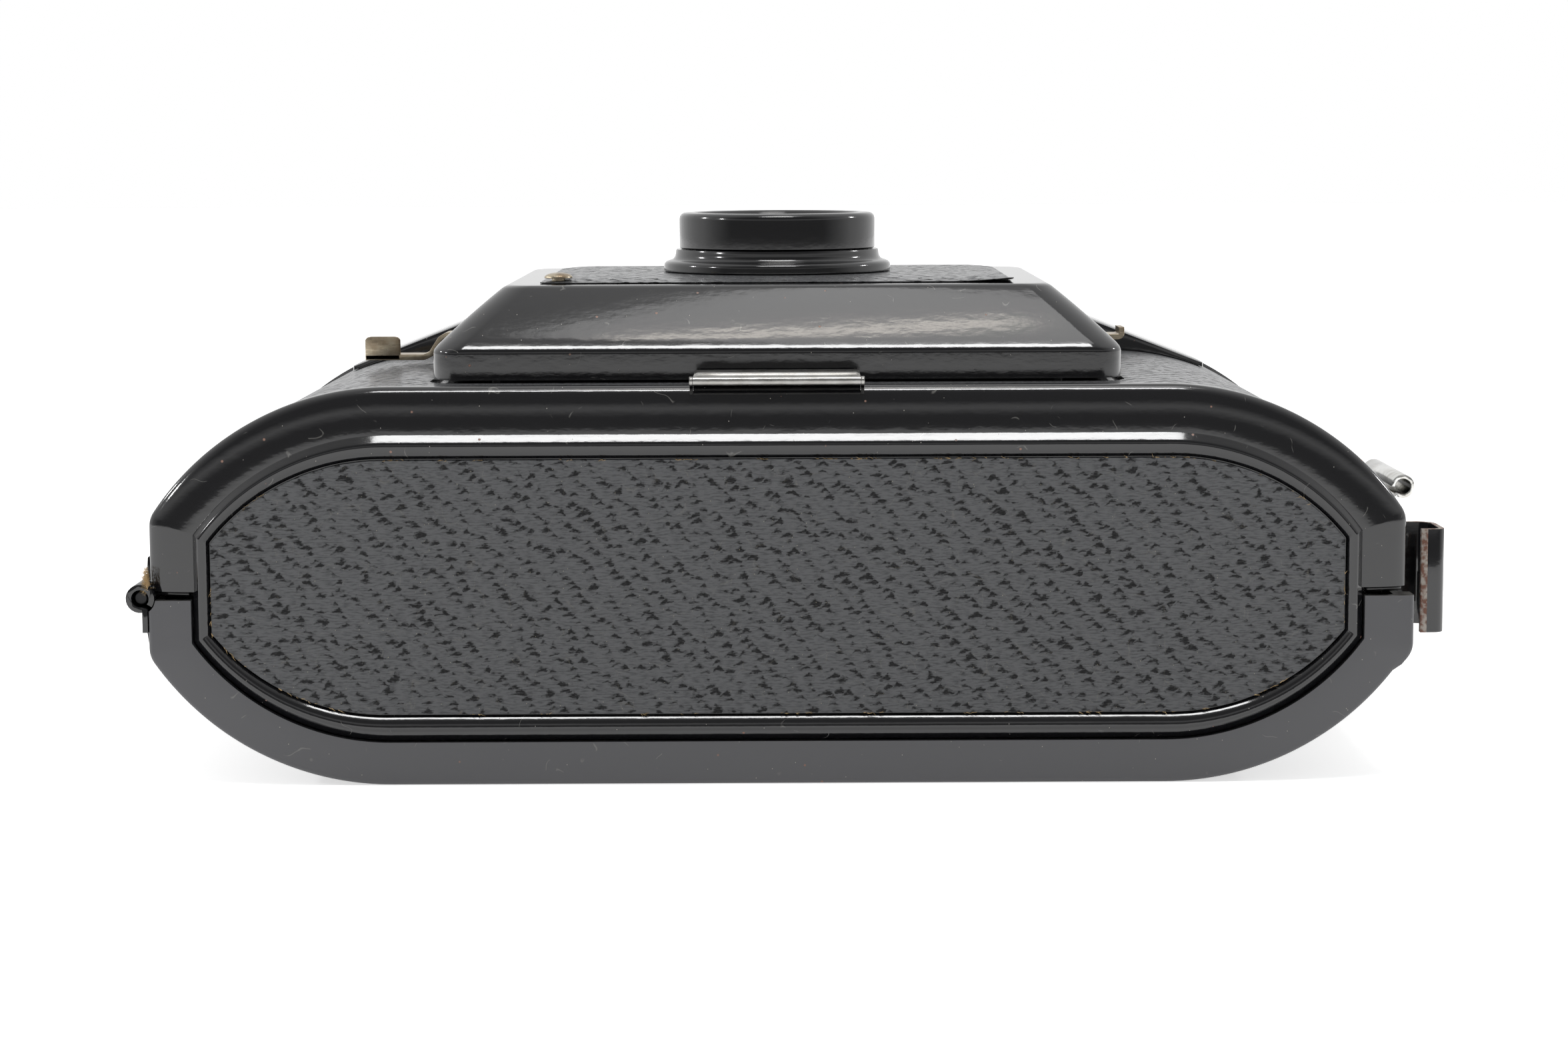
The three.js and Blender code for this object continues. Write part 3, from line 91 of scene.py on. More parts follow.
# %% Colour and node helpers
def linear(code):
    """Linear RGBA from an sRGB hex colour such as "#4a4a4c"."""
    channels = [int(code[i : i + 2], 16) / 255 for i in (1, 3, 5)]
    return [c / 12.92 if c <= 0.04045 else ((c + 0.055) / 1.055) ** 2.4 for c in channels] + [1]


def add(tree, kind, inputs=None, **settings):
    """Adds a node. Each input is a value, or a socket to link from."""
    node = tree.nodes.new(kind)
    for key, value in settings.items():
        setattr(node, key, value)
    for key, value in (inputs or {}).items():
        if isinstance(value, bpy.types.NodeSocket):
            tree.links.new(value, node.inputs[key])
        else:
            node.inputs[key].default_value = value
    return node


def finish(name, colour, roughness, metallic=0.0, **more):
    """A Principled material, its node tree and its shader node."""
    material = bpy.data.materials.new(name)
    material.use_nodes = True
    tree = material.node_tree
    shader = tree.nodes["Principled BSDF"]
    shader.inputs["Base Color"].default_value = linear(colour)
    shader.inputs["Roughness"].default_value = roughness
    shader.inputs["Metallic"].default_value = metallic
    for key, value in more.items():
        shader.inputs[key].default_value = value
    print("finish:", name)
    return material, tree, shader


# %% Noise in millimetres
def drawn_in_mm(tree):
    """The piece's own coordinates, in millimetres."""
    place = add(tree, "ShaderNodeTexCoord").outputs["Object"]
    inputs = {"Vector": place, "Scale": (1 / MM, 1 / MM, 1 / MM)}
    return add(tree, "ShaderNodeMapping", inputs).outputs["Vector"]


def grain_noise(tree, where, per_mm, detail=3.0, stretch=(1, 1, 1)):
    """Noise with a given number of features to the millimetre."""
    spread = add(tree, "ShaderNodeMapping", {"Vector": where, "Scale": stretch}).outputs["Vector"]
    inputs = {"Vector": spread, "Scale": per_mm, "Detail": detail}
    return add(tree, "ShaderNodeTexNoise", inputs).outputs["Fac"]


# %% Ranges, sums, blends and bumps
def between(tree, value, low, high, to_low=0.0, to_high=1.0):
    """Maps value from low..high to to_low..to_high, clamped."""
    inputs = {"Value": value, "From Min": low, "From Max": high}
    inputs |= {"To Min": to_low, "To Max": to_high}
    return add(tree, "ShaderNodeMapRange", inputs).outputs["Result"]


def combine(tree, operation, a, b=0.0):
    """One step of arithmetic; each side is a number or a socket."""
    return add(tree, "ShaderNodeMath", {0: a, 1: b}, operation=operation).outputs["Value"]


def times(tree, a, b):
    """The product of two values."""
    return combine(tree, "MULTIPLY", a, b)


def plus(tree, a, b):
    """The sum of two values."""
    return combine(tree, "ADD", a, b)


def minus(tree, a, b):
    """The first value less the second."""
    return combine(tree, "SUBTRACT", a, b)


def vectors(tree, operation, a, b, output="Vector"):
    """One step of arithmetic on two vectors."""
    return add(tree, "ShaderNodeVectorMath", {0: a, 1: b}, operation=operation).outputs[output]


def blend_colour(tree, share, a, b):
    """Mixes two colours; each is a hex code or a socket."""
    a, b = [linear(colour) if isinstance(colour, str) else colour for colour in (a, b)]
    return add(tree, "ShaderNodeMix", {0: share, 6: a, 7: b}, data_type="RGBA").outputs[2]


def raise_bump(tree, shader, height, distance_mm):
    bump = add(tree, "ShaderNodeBump", {"Height": height, "Distance": distance_mm * MM})
    tree.links.new(bump.outputs["Normal"], shader.inputs["Normal"])


def specks(tree, where, per_mm, size_share, keep_share):
    """1 on small round spots: one in each cell of a Voronoi pattern, in a share of the cells."""
    cells = add(tree, "ShaderNodeTexVoronoi", {"Vector": where, "Scale": per_mm}).outputs
    spot = between(tree, cells["Distance"], size_share, size_share * 0.6)
    pick = add(tree, "ShaderNodeSeparateColor", {"Color": cells["Color"]}).outputs["Red"]
    return times(tree, spot, between(tree, pick, keep_share, keep_share * 0.98))


# %% [markdown]
# ## Finishes
#
# The body is pressed steel, dipped in black stoving enamel and baked. The enamel is a deep glossy
# black that flows over edges and pools a little, so its reflections are sharp but cloudy. After
# decades it has hairlines, dust and small rust pips where it was thin. The hairlines are broken
# contour lines of a broad noise.


# %% Gloss enamel
def stoved_enamel(name, colour, roughness, ripple_mm, worn=True):
    material, tree, shader = finish(name, colour, roughness, IOR=1.6)
    where = drawn_in_mm(tree)
    pool = times(tree, grain_noise(tree, where, 0.22, 2.0), 0.7)
    peel = times(tree, grain_noise(tree, where, 1.6), 0.1)
    wisps = grain_noise(tree, where, 0.8, 3.0, (0.55, 1.25, 1.25))
    if worn:
        level = minus(tree, grain_noise(tree, where, 0.2, 1.5), 0.5)
        hairline = between(tree, combine(tree, "ABSOLUTE", level), 0.006, 0.0)
        broken = between(tree, grain_noise(tree, where, 0.45, 1.0), 0.62, 0.67)
        scratch = times(tree, times(tree, hairline, broken), 0.35)
        rust = specks(tree, where, 0.42, 0.075, 0.4)
        dust = specks(tree, where, 1.1, 0.06, 0.4)
        paint = colour
        for mark, tint in ((scratch, "#9a9994"), (rust, "#8a6a5c"), (dust, "#b9b4ab")):
            paint = blend_colour(tree, mark, paint, tint)
        tree.links.new(paint, shader.inputs["Base Color"])
        marks = times(tree, combine(tree, "MAXIMUM", rust, dust), 0.5)
        tree.links.new(plus(tree, marks, roughness), shader.inputs["Roughness"])
    raise_bump(tree, shader, plus(tree, plus(tree, pool, peel), wisps), ripple_mm)
    return material


gloss_enamel = stoved_enamel("gloss_stoving_enamel", "#121214", 0.1, 0.0125)
ring_enamel = stoved_enamel("ring_enamel", "#0c0c0e", 0.12, 0.01, worn=False)

# %% [markdown]
# The hinged back was baked duller: its flat end flange shows an even dark grey with hardly any
# reflection and a few rust pips. Its cut edge along the seam is bare steel. Most inside parts are
# matt black.

# %% Satin enamel and matt black
flange_enamel = stoved_enamel("satin_stoving_enamel", "#434346", 0.38, 0.012)
inside_black, inside_tree, inside_shader = finish("inside_matt_black", "#17171a", 0.6)
inside_grain = grain_noise(inside_tree, drawn_in_mm(inside_tree), 4.0)
raise_bump(inside_tree, inside_shader, inside_grain, 0.02)

# %% [markdown]
# The covering is leathercloth: cotton coated with pyroxylin and embossed by a hot roller. The
# roller leaves small three-cornered pits with a flat lower edge, about 1.7 mm wide and 0.6 mm high.
# They lie on a slanting lattice, 0.9 mm apart along one row and 2.1 mm from row to row, like a
# twill. Two dot products turn a place on the cloth into steps along the rows; the whole steps
# number the pit, and the rest is the place within its cell, where two straight lines cut out the
# pit. Noise shakes the lattice, frays the pits, pales them in places and draws the fine level
# striations between them. Pits and striations are only bumps, so the shade in them is painted on
# as a near-black. A second cloth, whose relief is rubbed nearly flat, covers the front and the
# housing.

# %% Leathercloth
ROW_STEP = (0.58, -0.66)
ROW_SHIFT = (1.74, 1.22)
PIT_HALF = 0.84
PIT_LEAN = 1.35
PIT_FOOT = 0.26
CLOTH_COLOUR = "#535456"
# Painted shade: the near-black that the pits and striations are coloured with stands for the shade
# in their hollows.
PIT_SHADE_COLOUR = "#0b0b0c"


def leathercloth(name, depth_mm, roughness):
    material, tree, shader = finish(name, CLOTH_COLOUR, roughness, IOR=1.48)
    cloth = add(tree, "ShaderNodeUVMap", uv_map="grain").outputs["UV"]
    shaken = cloth
    for per_mm, detail, reach in ((0.55, 1.0, 1.3), (2.2, 2.0, 0.4)):
        inputs = {"Vector": cloth, "Scale": per_mm, "Detail": detail}
        shake = add(tree, "ShaderNodeTexNoise", inputs).outputs["Color"]
        push = vectors(tree, "MULTIPLY", shake, (reach, reach, 0))
        shaken = vectors(tree, "ADD", shaken, push)
    (ax, ay), (bx, by) = ROW_STEP, ROW_SHIFT
    area = ax * by - ay * bx
    steps, rests = [], []
    for across in ((by / area, -bx / area, 0), (-ay / area, ax / area, 0)):
        turns = vectors(tree, "DOT_PRODUCT", shaken, across, "Value")
        steps.append(combine(tree, "FLOOR", turns))
        rests.append(combine(tree, "FRACT", turns))
    number = add(tree, "ShaderNodeCombineXYZ", {"X": steps[0], "Y": steps[1]}).outputs["Vector"]
    chance = add(tree, "ShaderNodeTexWhiteNoise", {"Vector": number}).outputs["Color"]
    luck = add(tree, "ShaderNodeSeparateColor", {"Color": chance}).outputs
    s = plus(tree, rests[0], between(tree, luck["Red"], 0, 1, -0.68, -0.32))
    t = plus(tree, rests[1], between(tree, luck["Green"], 0, 1, -0.74, -0.26))
    right = plus(tree, times(tree, s, ax), times(tree, t, bx))
    up = plus(tree, times(tree, s, ay), times(tree, t, by))
    above_foot = plus(tree, up, PIT_FOOT)
    half = minus(tree, PIT_HALF, times(tree, above_foot, PIT_LEAN))
    within = minus(tree, half, combine(tree, "ABSOLUTE", right))
    inside = combine(tree, "MINIMUM", times(tree, above_foot, 1.8), within)
    torn = grain_noise(tree, cloth, 2.4, 4.0, (0.7, 2.6, 1))
    inside = plus(tree, inside, between(tree, torn, 0.25, 0.75, -0.32, 0.32))
    inside = plus(tree, inside, between(tree, luck["Blue"], 0, 1, -0.28, 0.1))
    mottle = grain_noise(tree, cloth, 3.2, 3.0, (0.6, 2.4, 1))
    mottle = between(tree, mottle, 0.34, 0.54, 0.82, 1.0)
    pit = times(tree, between(tree, inside, -0.12, 0.22), mottle)
    dash = between(tree, grain_noise(tree, cloth, 1.3, 4.0, (0.8, 4.2, 1)), 0.47, 0.68)
    # The pits fully, and the striations at a little under half, are coloured towards the
    # near-black: painted shade. The same mask sinks the bump and raises the roughness.
    hollow_and_shade = combine(tree, "MAXIMUM", times(tree, pit, 0.99), times(tree, dash, 0.46))
    inputs = {"Vector": shaken, "Scale": 0.34}
    crease = add(tree, "ShaderNodeTexVoronoi", inputs, feature="DISTANCE_TO_EDGE")
    crease = between(tree, crease.outputs["Distance"], 0.02, 0.0)
    cracked = between(tree, grain_noise(tree, cloth, 0.5, 2.0), 0.5, 0.62)
    crack = times(tree, times(tree, crease, cracked), 0.1)
    fleck = times(tree, specks(tree, cloth, 1.9, 0.1, 0.16), 0.7)
    tone = CLOTH_COLOUR
    for mark, tint in ((hollow_and_shade, PIT_SHADE_COLOUR), (crack, "#a39c8c"), (fleck, "#a9a28c")):
        tone = blend_colour(tree, mark, tone, tint)
    tree.links.new(tone, shader.inputs["Base Color"])
    tree.links.new(between(tree, hollow_and_shade, 0, 1, roughness, 0.95), shader.inputs["Roughness"])
    fine = times(tree, grain_noise(tree, cloth, 6.0, 4.0), 0.35)
    raise_bump(tree, shader, minus(tree, fine, hollow_and_shade), depth_mm)
    return material


leather = leathercloth("black_leathercloth", 0.1, 0.38)
rubbed_leather = leathercloth("rubbed_leathercloth", 0.012, 0.2)

# %% [markdown]
# The fittings are nickel plate on brass or steel. Where hands wore it, it has gone brownish and
# soft; the latch, the rollers and the shaft are still bright, and the stand foot and the knob are
# rubbed dull. Cut sheet edges show bare steel or rust.


# %% Metals
def nickel(name, colour, stain, roughness, stain_amount):
    material, tree, shader = finish(name, colour, roughness, 1.0)
    where = drawn_in_mm(tree)
    cloud = between(tree, grain_noise(tree, where, 0.6, 4.0), 0.4, 0.7)
    tone = blend_colour(tree, times(tree, cloud, stain_amount), colour, stain)
    tree.links.new(tone, shader.inputs["Base Color"])
    rub = grain_noise(tree, where, 1.2, 3.0, (0.4, 6, 6))
    sheen = between(tree, rub, 0.3, 0.8, roughness * 0.7, roughness * 1.8)
    tree.links.new(sheen, shader.inputs["Roughness"])
    raise_bump(tree, shader, rub, 0.006)
    return material


aged_nickel = nickel("aged_nickel_plate", "#b3a893", "#7a6650", 0.3, 0.8)
bright_nickel = nickel("bright_nickel_plate", "#d2d2cf", "#9c968c", 0.16, 0.5)
rubbed_nickel = nickel("rubbed_nickel_plate", "#9f9e9b", "#77736d", 0.24, 0.5)
bare_steel = nickel("bare_steel", "#9b9b99", "#6c655d", 0.32, 0.6)

# %% [markdown]
# Glass is clear and slightly cool. The red windows are celluloid. Rust and the undyed cotton that
# the torn leathercloth shows, a pale tan, each have two tints in soft patches.


# %% Rust, cotton, glass and celluloid
def patchy(name, colour, roughness, metallic, grain, tints, bump_mm=0.0):
    """Two tints in patches; grain is the noise's scale per millimetre, detail, low and high."""
    material, tree, shader = finish(name, colour, roughness, metallic)
    per_mm, detail, low, high = grain
    patches = between(tree, grain_noise(tree, drawn_in_mm(tree), per_mm, detail), low, high)
    tree.links.new(blend_colour(tree, patches, *tints), shader.inputs["Base Color"])
    if bump_mm:
        raise_bump(tree, shader, patches, bump_mm)
    return material


rust_patches = (2.0, 4.0, 0.4, 0.6)
cotton_patches = (0.5, 2.0, 0.35, 0.65)
rust = patchy("rusted_edge", "#8d8984", 0.55, 0.35, rust_patches, ("#9d968e", "#6b4a3d"), 0.03)
cotton = patchy("torn_cotton", "#8d7a58", 0.9, 0.0, cotton_patches, ("#8d7750", "#d2b486"))
clear = {"IOR": 1.52, "Transmission Weight": 1.0}
stained = {"IOR": 1.5, "Transmission Weight": 0.6}
clear_glass = finish("lens_glass", "#f4f8f8", 0.0, **clear)[0]
red_celluloid = finish("red_celluloid", "#8e1a12", 0.12, **stained)[0]


# %% [markdown]
# ## How the shapes are made
#
# Most of the body is one outline, a long stadium with round shoulders, swept or stacked. `quarter`
# draws a quarter of that curve at any inset, always with the same number of points, so rings at
# different insets join up; `around` closes it, and `upper` and `lower` are its open halves. A
# closed profile carried along a half gives a pressed shell with real thickness; rings stacked and
# capped give the raised end panel.

# %% The body's outline
HALF_WIDTH = 69.6
THICKNESS = 44.2
MIDDLE = THICKNESS / 2
SHOULDER_REACH = 26.6
SHOULDER_RADIUS = 31.6
SIDE_CORNER = 3.0
SMALLEST_RADIUS = 0.3
SEAM = 21.0
SEAM_TOP = 21.7
SEAM_BOTTOM = 20.8
SHOULDER_STEPS = 36
CORNER_STEPS = 6


def arc(x, y, radius, start, end, steps):
    """Points round (x, y), from one angle to another in radians."""
    points = []
    for i in range(steps + 1):
        angle = start + (end - start) * i / steps
        points.append((x + radius * math.cos(angle), y + radius * math.sin(angle)))
    return points


def mirrored(points):
    """An outline's other half, from right to left."""
    return [(-x, z) for x, z in reversed(points)]


def flipped(points):
    """A profile's other half, from the near end to the far end."""
    return [(inset, -y) for inset, y in reversed(points)]


def quarter(inset):
    """The right upper quarter, from the side up to the end of the flat top."""
    shoulder = SHOULDER_RADIUS - inset
    corner = max(SIDE_CORNER - inset, SMALLEST_RADIUS)
    x = HALF_WIDTH - SHOULDER_REACH
    z = THICKNESS - SHOULDER_RADIUS
    corner_x = HALF_WIDTH - inset - corner
    rise = math.sqrt((shoulder - corner) ** 2 - (corner_x - x) ** 2)
    turn = math.atan2(rise, corner_x - x)
    side = arc(corner_x, z + rise, corner, 0, turn, CORNER_STEPS)
    return side[:-1] + arc(x, z, shoulder, turn, math.pi / 2, SHOULDER_STEPS)


def upper(inset):
    """The upper half as an open run, from the right seam over the top to the left seam."""
    side = [(HALF_WIDTH - inset, SEAM_TOP), (HALF_WIDTH - inset, (SEAM_TOP + MIDDLE + 3) / 2)]
    half = side + quarter(inset)
    return half + mirrored(half)


def lower(inset):
    """The lower half, from the right seam under the bottom to the left seam."""
    side = [(HALF_WIDTH - inset, SEAM_BOTTOM), (HALF_WIDTH - inset, (SEAM_BOTTOM + MIDDLE - 3) / 2)]
    half = side + [(x, THICKNESS - z) for x, z in quarter(inset)]
    return half + mirrored(half)


def around(inset):
    """The whole outline, closed."""
    top = quarter(inset) + mirrored(quarter(inset))
    return top + [(-x, THICKNESS - z) for x, z in top]


# %% A mesh from points and faces
def build(name, points, faces, material, corners=None, sharp_degrees=38):
    """A mesh piece from points in millimetres. corners gives each face's places on the cloth."""
    mesh = bpy.data.meshes.new(name)
    mesh.from_pydata([(x * MM, y * MM, z * MM) for x, y, z in points], [], faces)
    if corners:
        grain = mesh.uv_layers.new(name="grain")
        flat = [uv for face in corners for uv in face]
        for loop, uv in zip(grain.data, flat):
            loop.uv = uv
    work = bmesh.new()
    work.from_mesh(mesh)
    bmesh.ops.recalc_face_normals(work, faces=work.faces)
    work.to_mesh(mesh)
    work.free()
    mesh.shade_smooth()
    mesh.set_sharp_from_angle(angle=math.radians(sharp_degrees))
    mesh.materials.append(material)
    piece = bpy.data.objects.new(name, mesh)
    bpy.context.scene.collection.objects.link(piece)
    return piece


def run_lengths(points, closed=False):
    """Distances along a run of points, from its start."""
    ahead = points[1:] + points[:1] if closed else points[1:]
    return list(accumulate(map(math.dist, points, ahead), initial=0.0))


# %% Swept, stacked and turned pieces
def sweep(name, path, profile, material, shift=None):
    """Carries a closed profile of (inset, y) along an open half outline, and closes both ends."""
    rings = [path(inset) for inset, _ in profile]
    count = len(rings[0])
    points = []
    for ring, (_, y) in zip(rings, profile):
        for x, z in ring:
            points.append(shift(x, y, z) if shift else (x, y, z))
    along = run_lengths(rings[0])
    across = run_lengths(profile, closed=True)
    faces, corners = [], []
    for i in range(len(profile)):
        row, after = i * count, (i + 1) % len(profile) * count
        near, far = across[i], across[i + 1]
        for j in range(count - 1):
            left, right = along[j], along[j + 1]
            faces.append([row + j, row + j + 1, after + j + 1, after + j])
            corners.append([(left, near), (right, near), (right, far), (left, far)])
    for j in (0, count - 1):
        faces.append([i * count + j for i in range(len(profile))])
        corners.append(profile)
    return build(name, points, faces, material, corners)


def stack(name, rings, material, capped=True, **more):
    """Joins closed rings of 3-D points, one after the other, with flat ends if capped."""
    count = len(rings[0])
    points = [p for ring in rings for p in ring]
    last = len(points) - count
    faces = []
    for row in range(0, last, count):
        for j in range(count):
            after = (j + 1) % count
            faces.append([row + j, row + after, row + count + after, row + count + j])
    if capped:
        faces.append(list(range(count)))
        faces.append(list(range(last, len(points))))
    corners = [[(points[v][0], points[v][2]) for v in face] for face in faces]
    return build(name, points, faces, material, corners, **more)


def turned(name, profile, material, steps=96, centre=(0, 0, 0), axis="Z"):
    """A turned piece: a closed profile of (radius, height) spun about an axis."""
    points, faces = [], []
    for i in range(steps):
        angle = 2 * math.pi * i / steps
        c, s = math.cos(angle), math.sin(angle)
        for r, h in profile:
            place = {"X": (h, r * c, r * s), "Y": (r * c, h, r * s), "Z": (r * c, r * s, h)}[axis]
            points.append([a + b for a, b in zip(centre, place)])
    count = len(profile)
    for i in range(steps):
        row, after = i * count, (i + 1) % steps * count
        for j in range(count):
            k = (j + 1) % count
            if profile[j][0] > 0 or profile[k][0] > 0:
                faces.append([row + j, after + j, after + k, row + k])
    piece = build(name, points, faces, material)
    tidy = bmesh.new()
    tidy.from_mesh(piece.data)
    bmesh.ops.remove_doubles(tidy, verts=tidy.verts, dist=1e-7)
    bmesh.ops.recalc_face_normals(tidy, faces=tidy.faces)
    tidy.to_mesh(piece.data)
    tidy.free()
    return piece


# %% Outlines and profiles
def rod(inner, outer, half, chamfer):
    """The profile of a rod or tube whose outer rims are turned off."""
    end = [(inner, -half), (outer - chamfer, -half), (outer, -half + 0.1)]
    return end + flipped(end)


def rounded(points, radii, steps=5):
    """An open run of 2-D points with its inner corners rounded."""
    run = [points[0]]
    for before, here, after, radius in zip(points, points[1:], points[2:], radii):
        a, p, b = Vector(before), Vector(here), Vector(after)
        u, v = (a - p).normalized(), (b - p).normalized()
        half = u.angle(v) / 2
        if radius == 0 or abs(half - math.pi / 2) < 1e-3:
            run.append(here)
            continue
        back = min(radius / math.tan(half), (a - p).length * 0.49, (b - p).length * 0.49)
        start, end = p + u * back, p + v * back
        for i in range(steps + 1):
            t = i / steps
            q = start * (1 - t) ** 2 + p * 2 * t * (1 - t) + end * t**2
            run.append((q.x, q.y))
    run.append(points[-1])
    return run


def oblong(half_x, half_y, radius, z, steps=8):
    """A rounded rectangle as a ring of points at one height."""
    ring = []
    for corner, (side, end) in enumerate(((1, 1), (-1, 1), (-1, -1), (1, -1))):
        x, y = side * (half_x - radius), end * (half_y - radius)
        turn = math.pi / 2
        for place in arc(x, y, radius, corner * turn, (corner + 1) * turn, steps):
            ring.append((*place, z))
    return ring


# %% Bevels, cuts and joins
SLIVER_MM = 0.001


def soften(piece, width_mm, segments=2, degrees=40):
    """Rounds a piece's edges by a small bevel."""
    bevel = piece.modifiers.new("edge", "BEVEL")
    bevel.width = width_mm * MM
    bevel.segments = segments
    bevel.limit_method = "ANGLE"
    bevel.angle_limit = math.radians(degrees)
    return piece


def settled(piece):
    """Applies a piece's modifiers."""
    evaluated = piece.evaluated_get(bpy.context.evaluated_depsgraph_get())
    mesh = bpy.data.meshes.new_from_object(evaluated)
    piece.modifiers.clear()
    piece.data = mesh
    return piece


def cut(piece, *cutters):
    """Cuts other solids out of a piece and deletes them."""
    for cutter in cutters:
        hole = piece.modifiers.new("cut", "BOOLEAN")
        hole.operation = "DIFFERENCE"
        hole.solver = "EXACT"
        hole.object = cutter
        bpy.context.view_layer.update()
        settled(piece)
        bpy.data.objects.remove(cutter)
    piece.data.set_sharp_from_angle(angle=math.radians(38))
    return piece


def joined(name, pieces):
    """Joins pieces into the first one's object, and closes slivers that a bevel left."""
    work = bmesh.new()
    for piece in pieces:
        work.from_mesh(piece.data)
    bmesh.ops.dissolve_degenerate(work, dist=SLIVER_MM * MM, edges=work.edges)
    keep = pieces[0]
    work.to_mesh(keep.data)
    work.free()
    for piece in pieces[1:]:
        bpy.data.objects.remove(piece)
    keep.name = name
    keep.data.shade_smooth()
    keep.data.set_sharp_from_angle(angle=math.radians(38))
    return keep


def repaint(piece, material, wanted):
    """Gives a second material to the faces that wanted(normal, centre in millimetres) picks."""
    piece.data.materials.append(material)
    for face in piece.data.polygons:
        if wanted(face.normal, face.center / MM):
            face.material_index = 1


# %% Slabs, sheets, blocks and drills
def slab(name, outline, low, high, material, bevel=0.0, plane="XZ", segments=2):
    """A flat outline in one plane, drawn out from low to high across it, with rounded edges."""
    rings = []
    for w in (low, high):
        ring = []
        for a, b in outline:
            ring.append({"XY": (a, b, w), "XZ": (a, w, b), "YZ": (w, a, b)}[plane])
        rings.append(ring)
    piece = stack(name, rings, material)
    return settled(soften(piece, bevel, segments)) if bevel else piece


def strip_plate(name, path, thickness, low, high, material, bevel, plane="XZ"):
    """A sheet that follows a path in one plane and runs from low to high across it."""
    left, right = [], []
    for i, here in enumerate(path):
        before = Vector(path[max(i - 1, 0)])
        after = Vector(path[min(i + 1, len(path) - 1)])
        along = (after - before).normalized()
        across = Vector((-along.y, along.x)) * thickness / 2
        left.append(Vector(here) + across)
        right.append(Vector(here) - across)
    return slab(name, right + left[::-1], low, high, material, bevel, plane)


def block(low, high, name="cutter", material=leather):
    """A box between two corners."""
    (x, y, z), (far_x, far_y, far_z) = low, high
    plan = [(x, y), (far_x, y), (far_x, far_y), (x, far_y)]
    return slab(name, plan, z, far_z, material, plane="XY")


def drill(radius, low, high, steps, centre=(0, 0, 0), axis="Z"):
    """A round cutter from low to high along an axis."""
    profile = [(0, low), (radius, low), (radius, high), (0, high)]
    return turned("cutter", profile, leather, steps, centre, axis)


# %% What a piece stands for
def stands_for(piece, body, slot, *names):
    """Rides a piece on its body and lets it stand for its CAD nodes. Its slot is not used."""
    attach(piece, body)
    if names:
        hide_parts(*names)
    print(piece.name, len(piece.data.vertices), "points, on", body, "for", names or "no node")


# %% [markdown]
# ## End caps
#
# Each end cap is a deep-drawn pressing. Its rim rolls over from the shoulder to the face in one
# generous curve, which is what makes the long cloudy highlight round the end. Inside it stands the
# panel: a bead with a round crest, a narrow bevel inside and a wide one outside, which borders the
# leathercloth. The rim reaches only down to the seam, where a folded tongue closes it, while the
# panel goes all round, because the hinged back closes around its lower half.

# %% End cap
CAP_FACE = 44.7
CAP_BACK = 41.5
ROLL_ACROSS = 5.2
ROLL_DEEP = 1.8
ROLL_STEPS = 10
BEAD_OUTER = 5.0
BEAD_INNER = 7.6
BEAD_STRETCH = 0.012
BEAD_FLOOR = 44.55
FLOOR_INSET = 9.2
SKIRT = 41.9
SHEET = 0.9


def rim_profile():
    """From the cap's back edge over the rolled rim to its face, and back along the inside."""
    run = [(0.12, -CAP_BACK), (0.0, -CAP_BACK - 0.15)]
    for i in range(ROLL_STEPS + 1):
        angle = math.pi / 2 * i / ROLL_STEPS
        inset = ROLL_ACROSS * (1 - math.cos(angle))
        run.append((inset, -(CAP_FACE - ROLL_DEEP) - ROLL_DEEP * math.sin(angle)))
    run += [(5.9, -CAP_FACE), (5.9, -CAP_FACE + SHEET), (ROLL_ACROSS, -CAP_FACE + SHEET)]
    run += [(2.6, -CAP_FACE + 1.4), (SHEET, -CAP_FACE + 2.7), (SHEET, -CAP_BACK)]
    return run


def stretched(inset, y):
    """The bead's inner outlines are a little longer and lower than the body's at the same inset."""
    share = min(max((inset - BEAD_OUTER) / (BEAD_INNER - BEAD_OUTER), 0), 1) * BEAD_STRETCH
    return [(x * (1 + share), y, MIDDLE + (z - MIDDLE) * (1 - share)) for x, z in around(inset)]


def bead_profile():
    """From the panel's floor over the bead to its skirt: narrow bevel, round crest, wide bevel."""
    run = [(FLOOR_INSET, -BEAD_FLOOR), (7.66, -BEAD_FLOOR), (BEAD_INNER, -BEAD_FLOOR - 0.1)]
    run += [(7.56, -44.84), (7.48, -44.92), (7.3, -45.083), (7.12, -45.245), (7.0, -45.32)]
    run += [(6.84, -45.4), (6.64, -45.46), (6.4, -45.5), (6.24, -45.49), (6.1, -45.45)]
    run += [(5.98, -45.38), (5.88, -45.3), (5.6, -45.06), (5.3, -44.8), (5.12, -44.65)]
    run += [(BEAD_OUTER, -44.5), (BEAD_OUTER, -SKIRT), (BEAD_OUTER + SHEET, -SKIRT)]
    run += [(BEAD_OUTER + SHEET, -BEAD_FLOOR + SHEET), (FLOOR_INSET, -BEAD_FLOOR + SHEET)]
    return run


# %% The two end caps
def turn_round(piece):
    """Turns a piece that was drawn at the bottom end half round to the top end."""
    piece.data.transform(Matrix.Rotation(math.pi, 4, "Z"))
    return piece


def seam_tongue(side):
    """The cap's folded end, a dark lip that shows in the seam."""
    outline = []
    for inset in (0.3, 0.8, 1.5, 2.5, 3.5, 4.5):
        angle = math.acos(1 - inset / ROLL_ACROSS)
        y = -(CAP_FACE - ROLL_DEEP) - ROLL_DEEP * math.sin(angle) + SHEET
        outline.append((side * (HALF_WIDTH - inset), y))
    outline += [(side * (HALF_WIDTH - 4.5), -CAP_BACK), (side * (HALF_WIDTH - 0.3), -CAP_BACK)]
    low, high = SEAM_BOTTOM + 0.25, SEAM_TOP - 0.02
    return slab("tongue", outline, low, high, gloss_enamel, 0.25, "XY", 3)


def end_cap(name):
    rim = sweep("rim", upper, rim_profile(), gloss_enamel)
    bead = stack("bead", [stretched(inset, y) for inset, y in bead_profile()], gloss_enamel)
    return joined(name, [rim, bead, seam_tongue(-1), seam_tongue(1)])


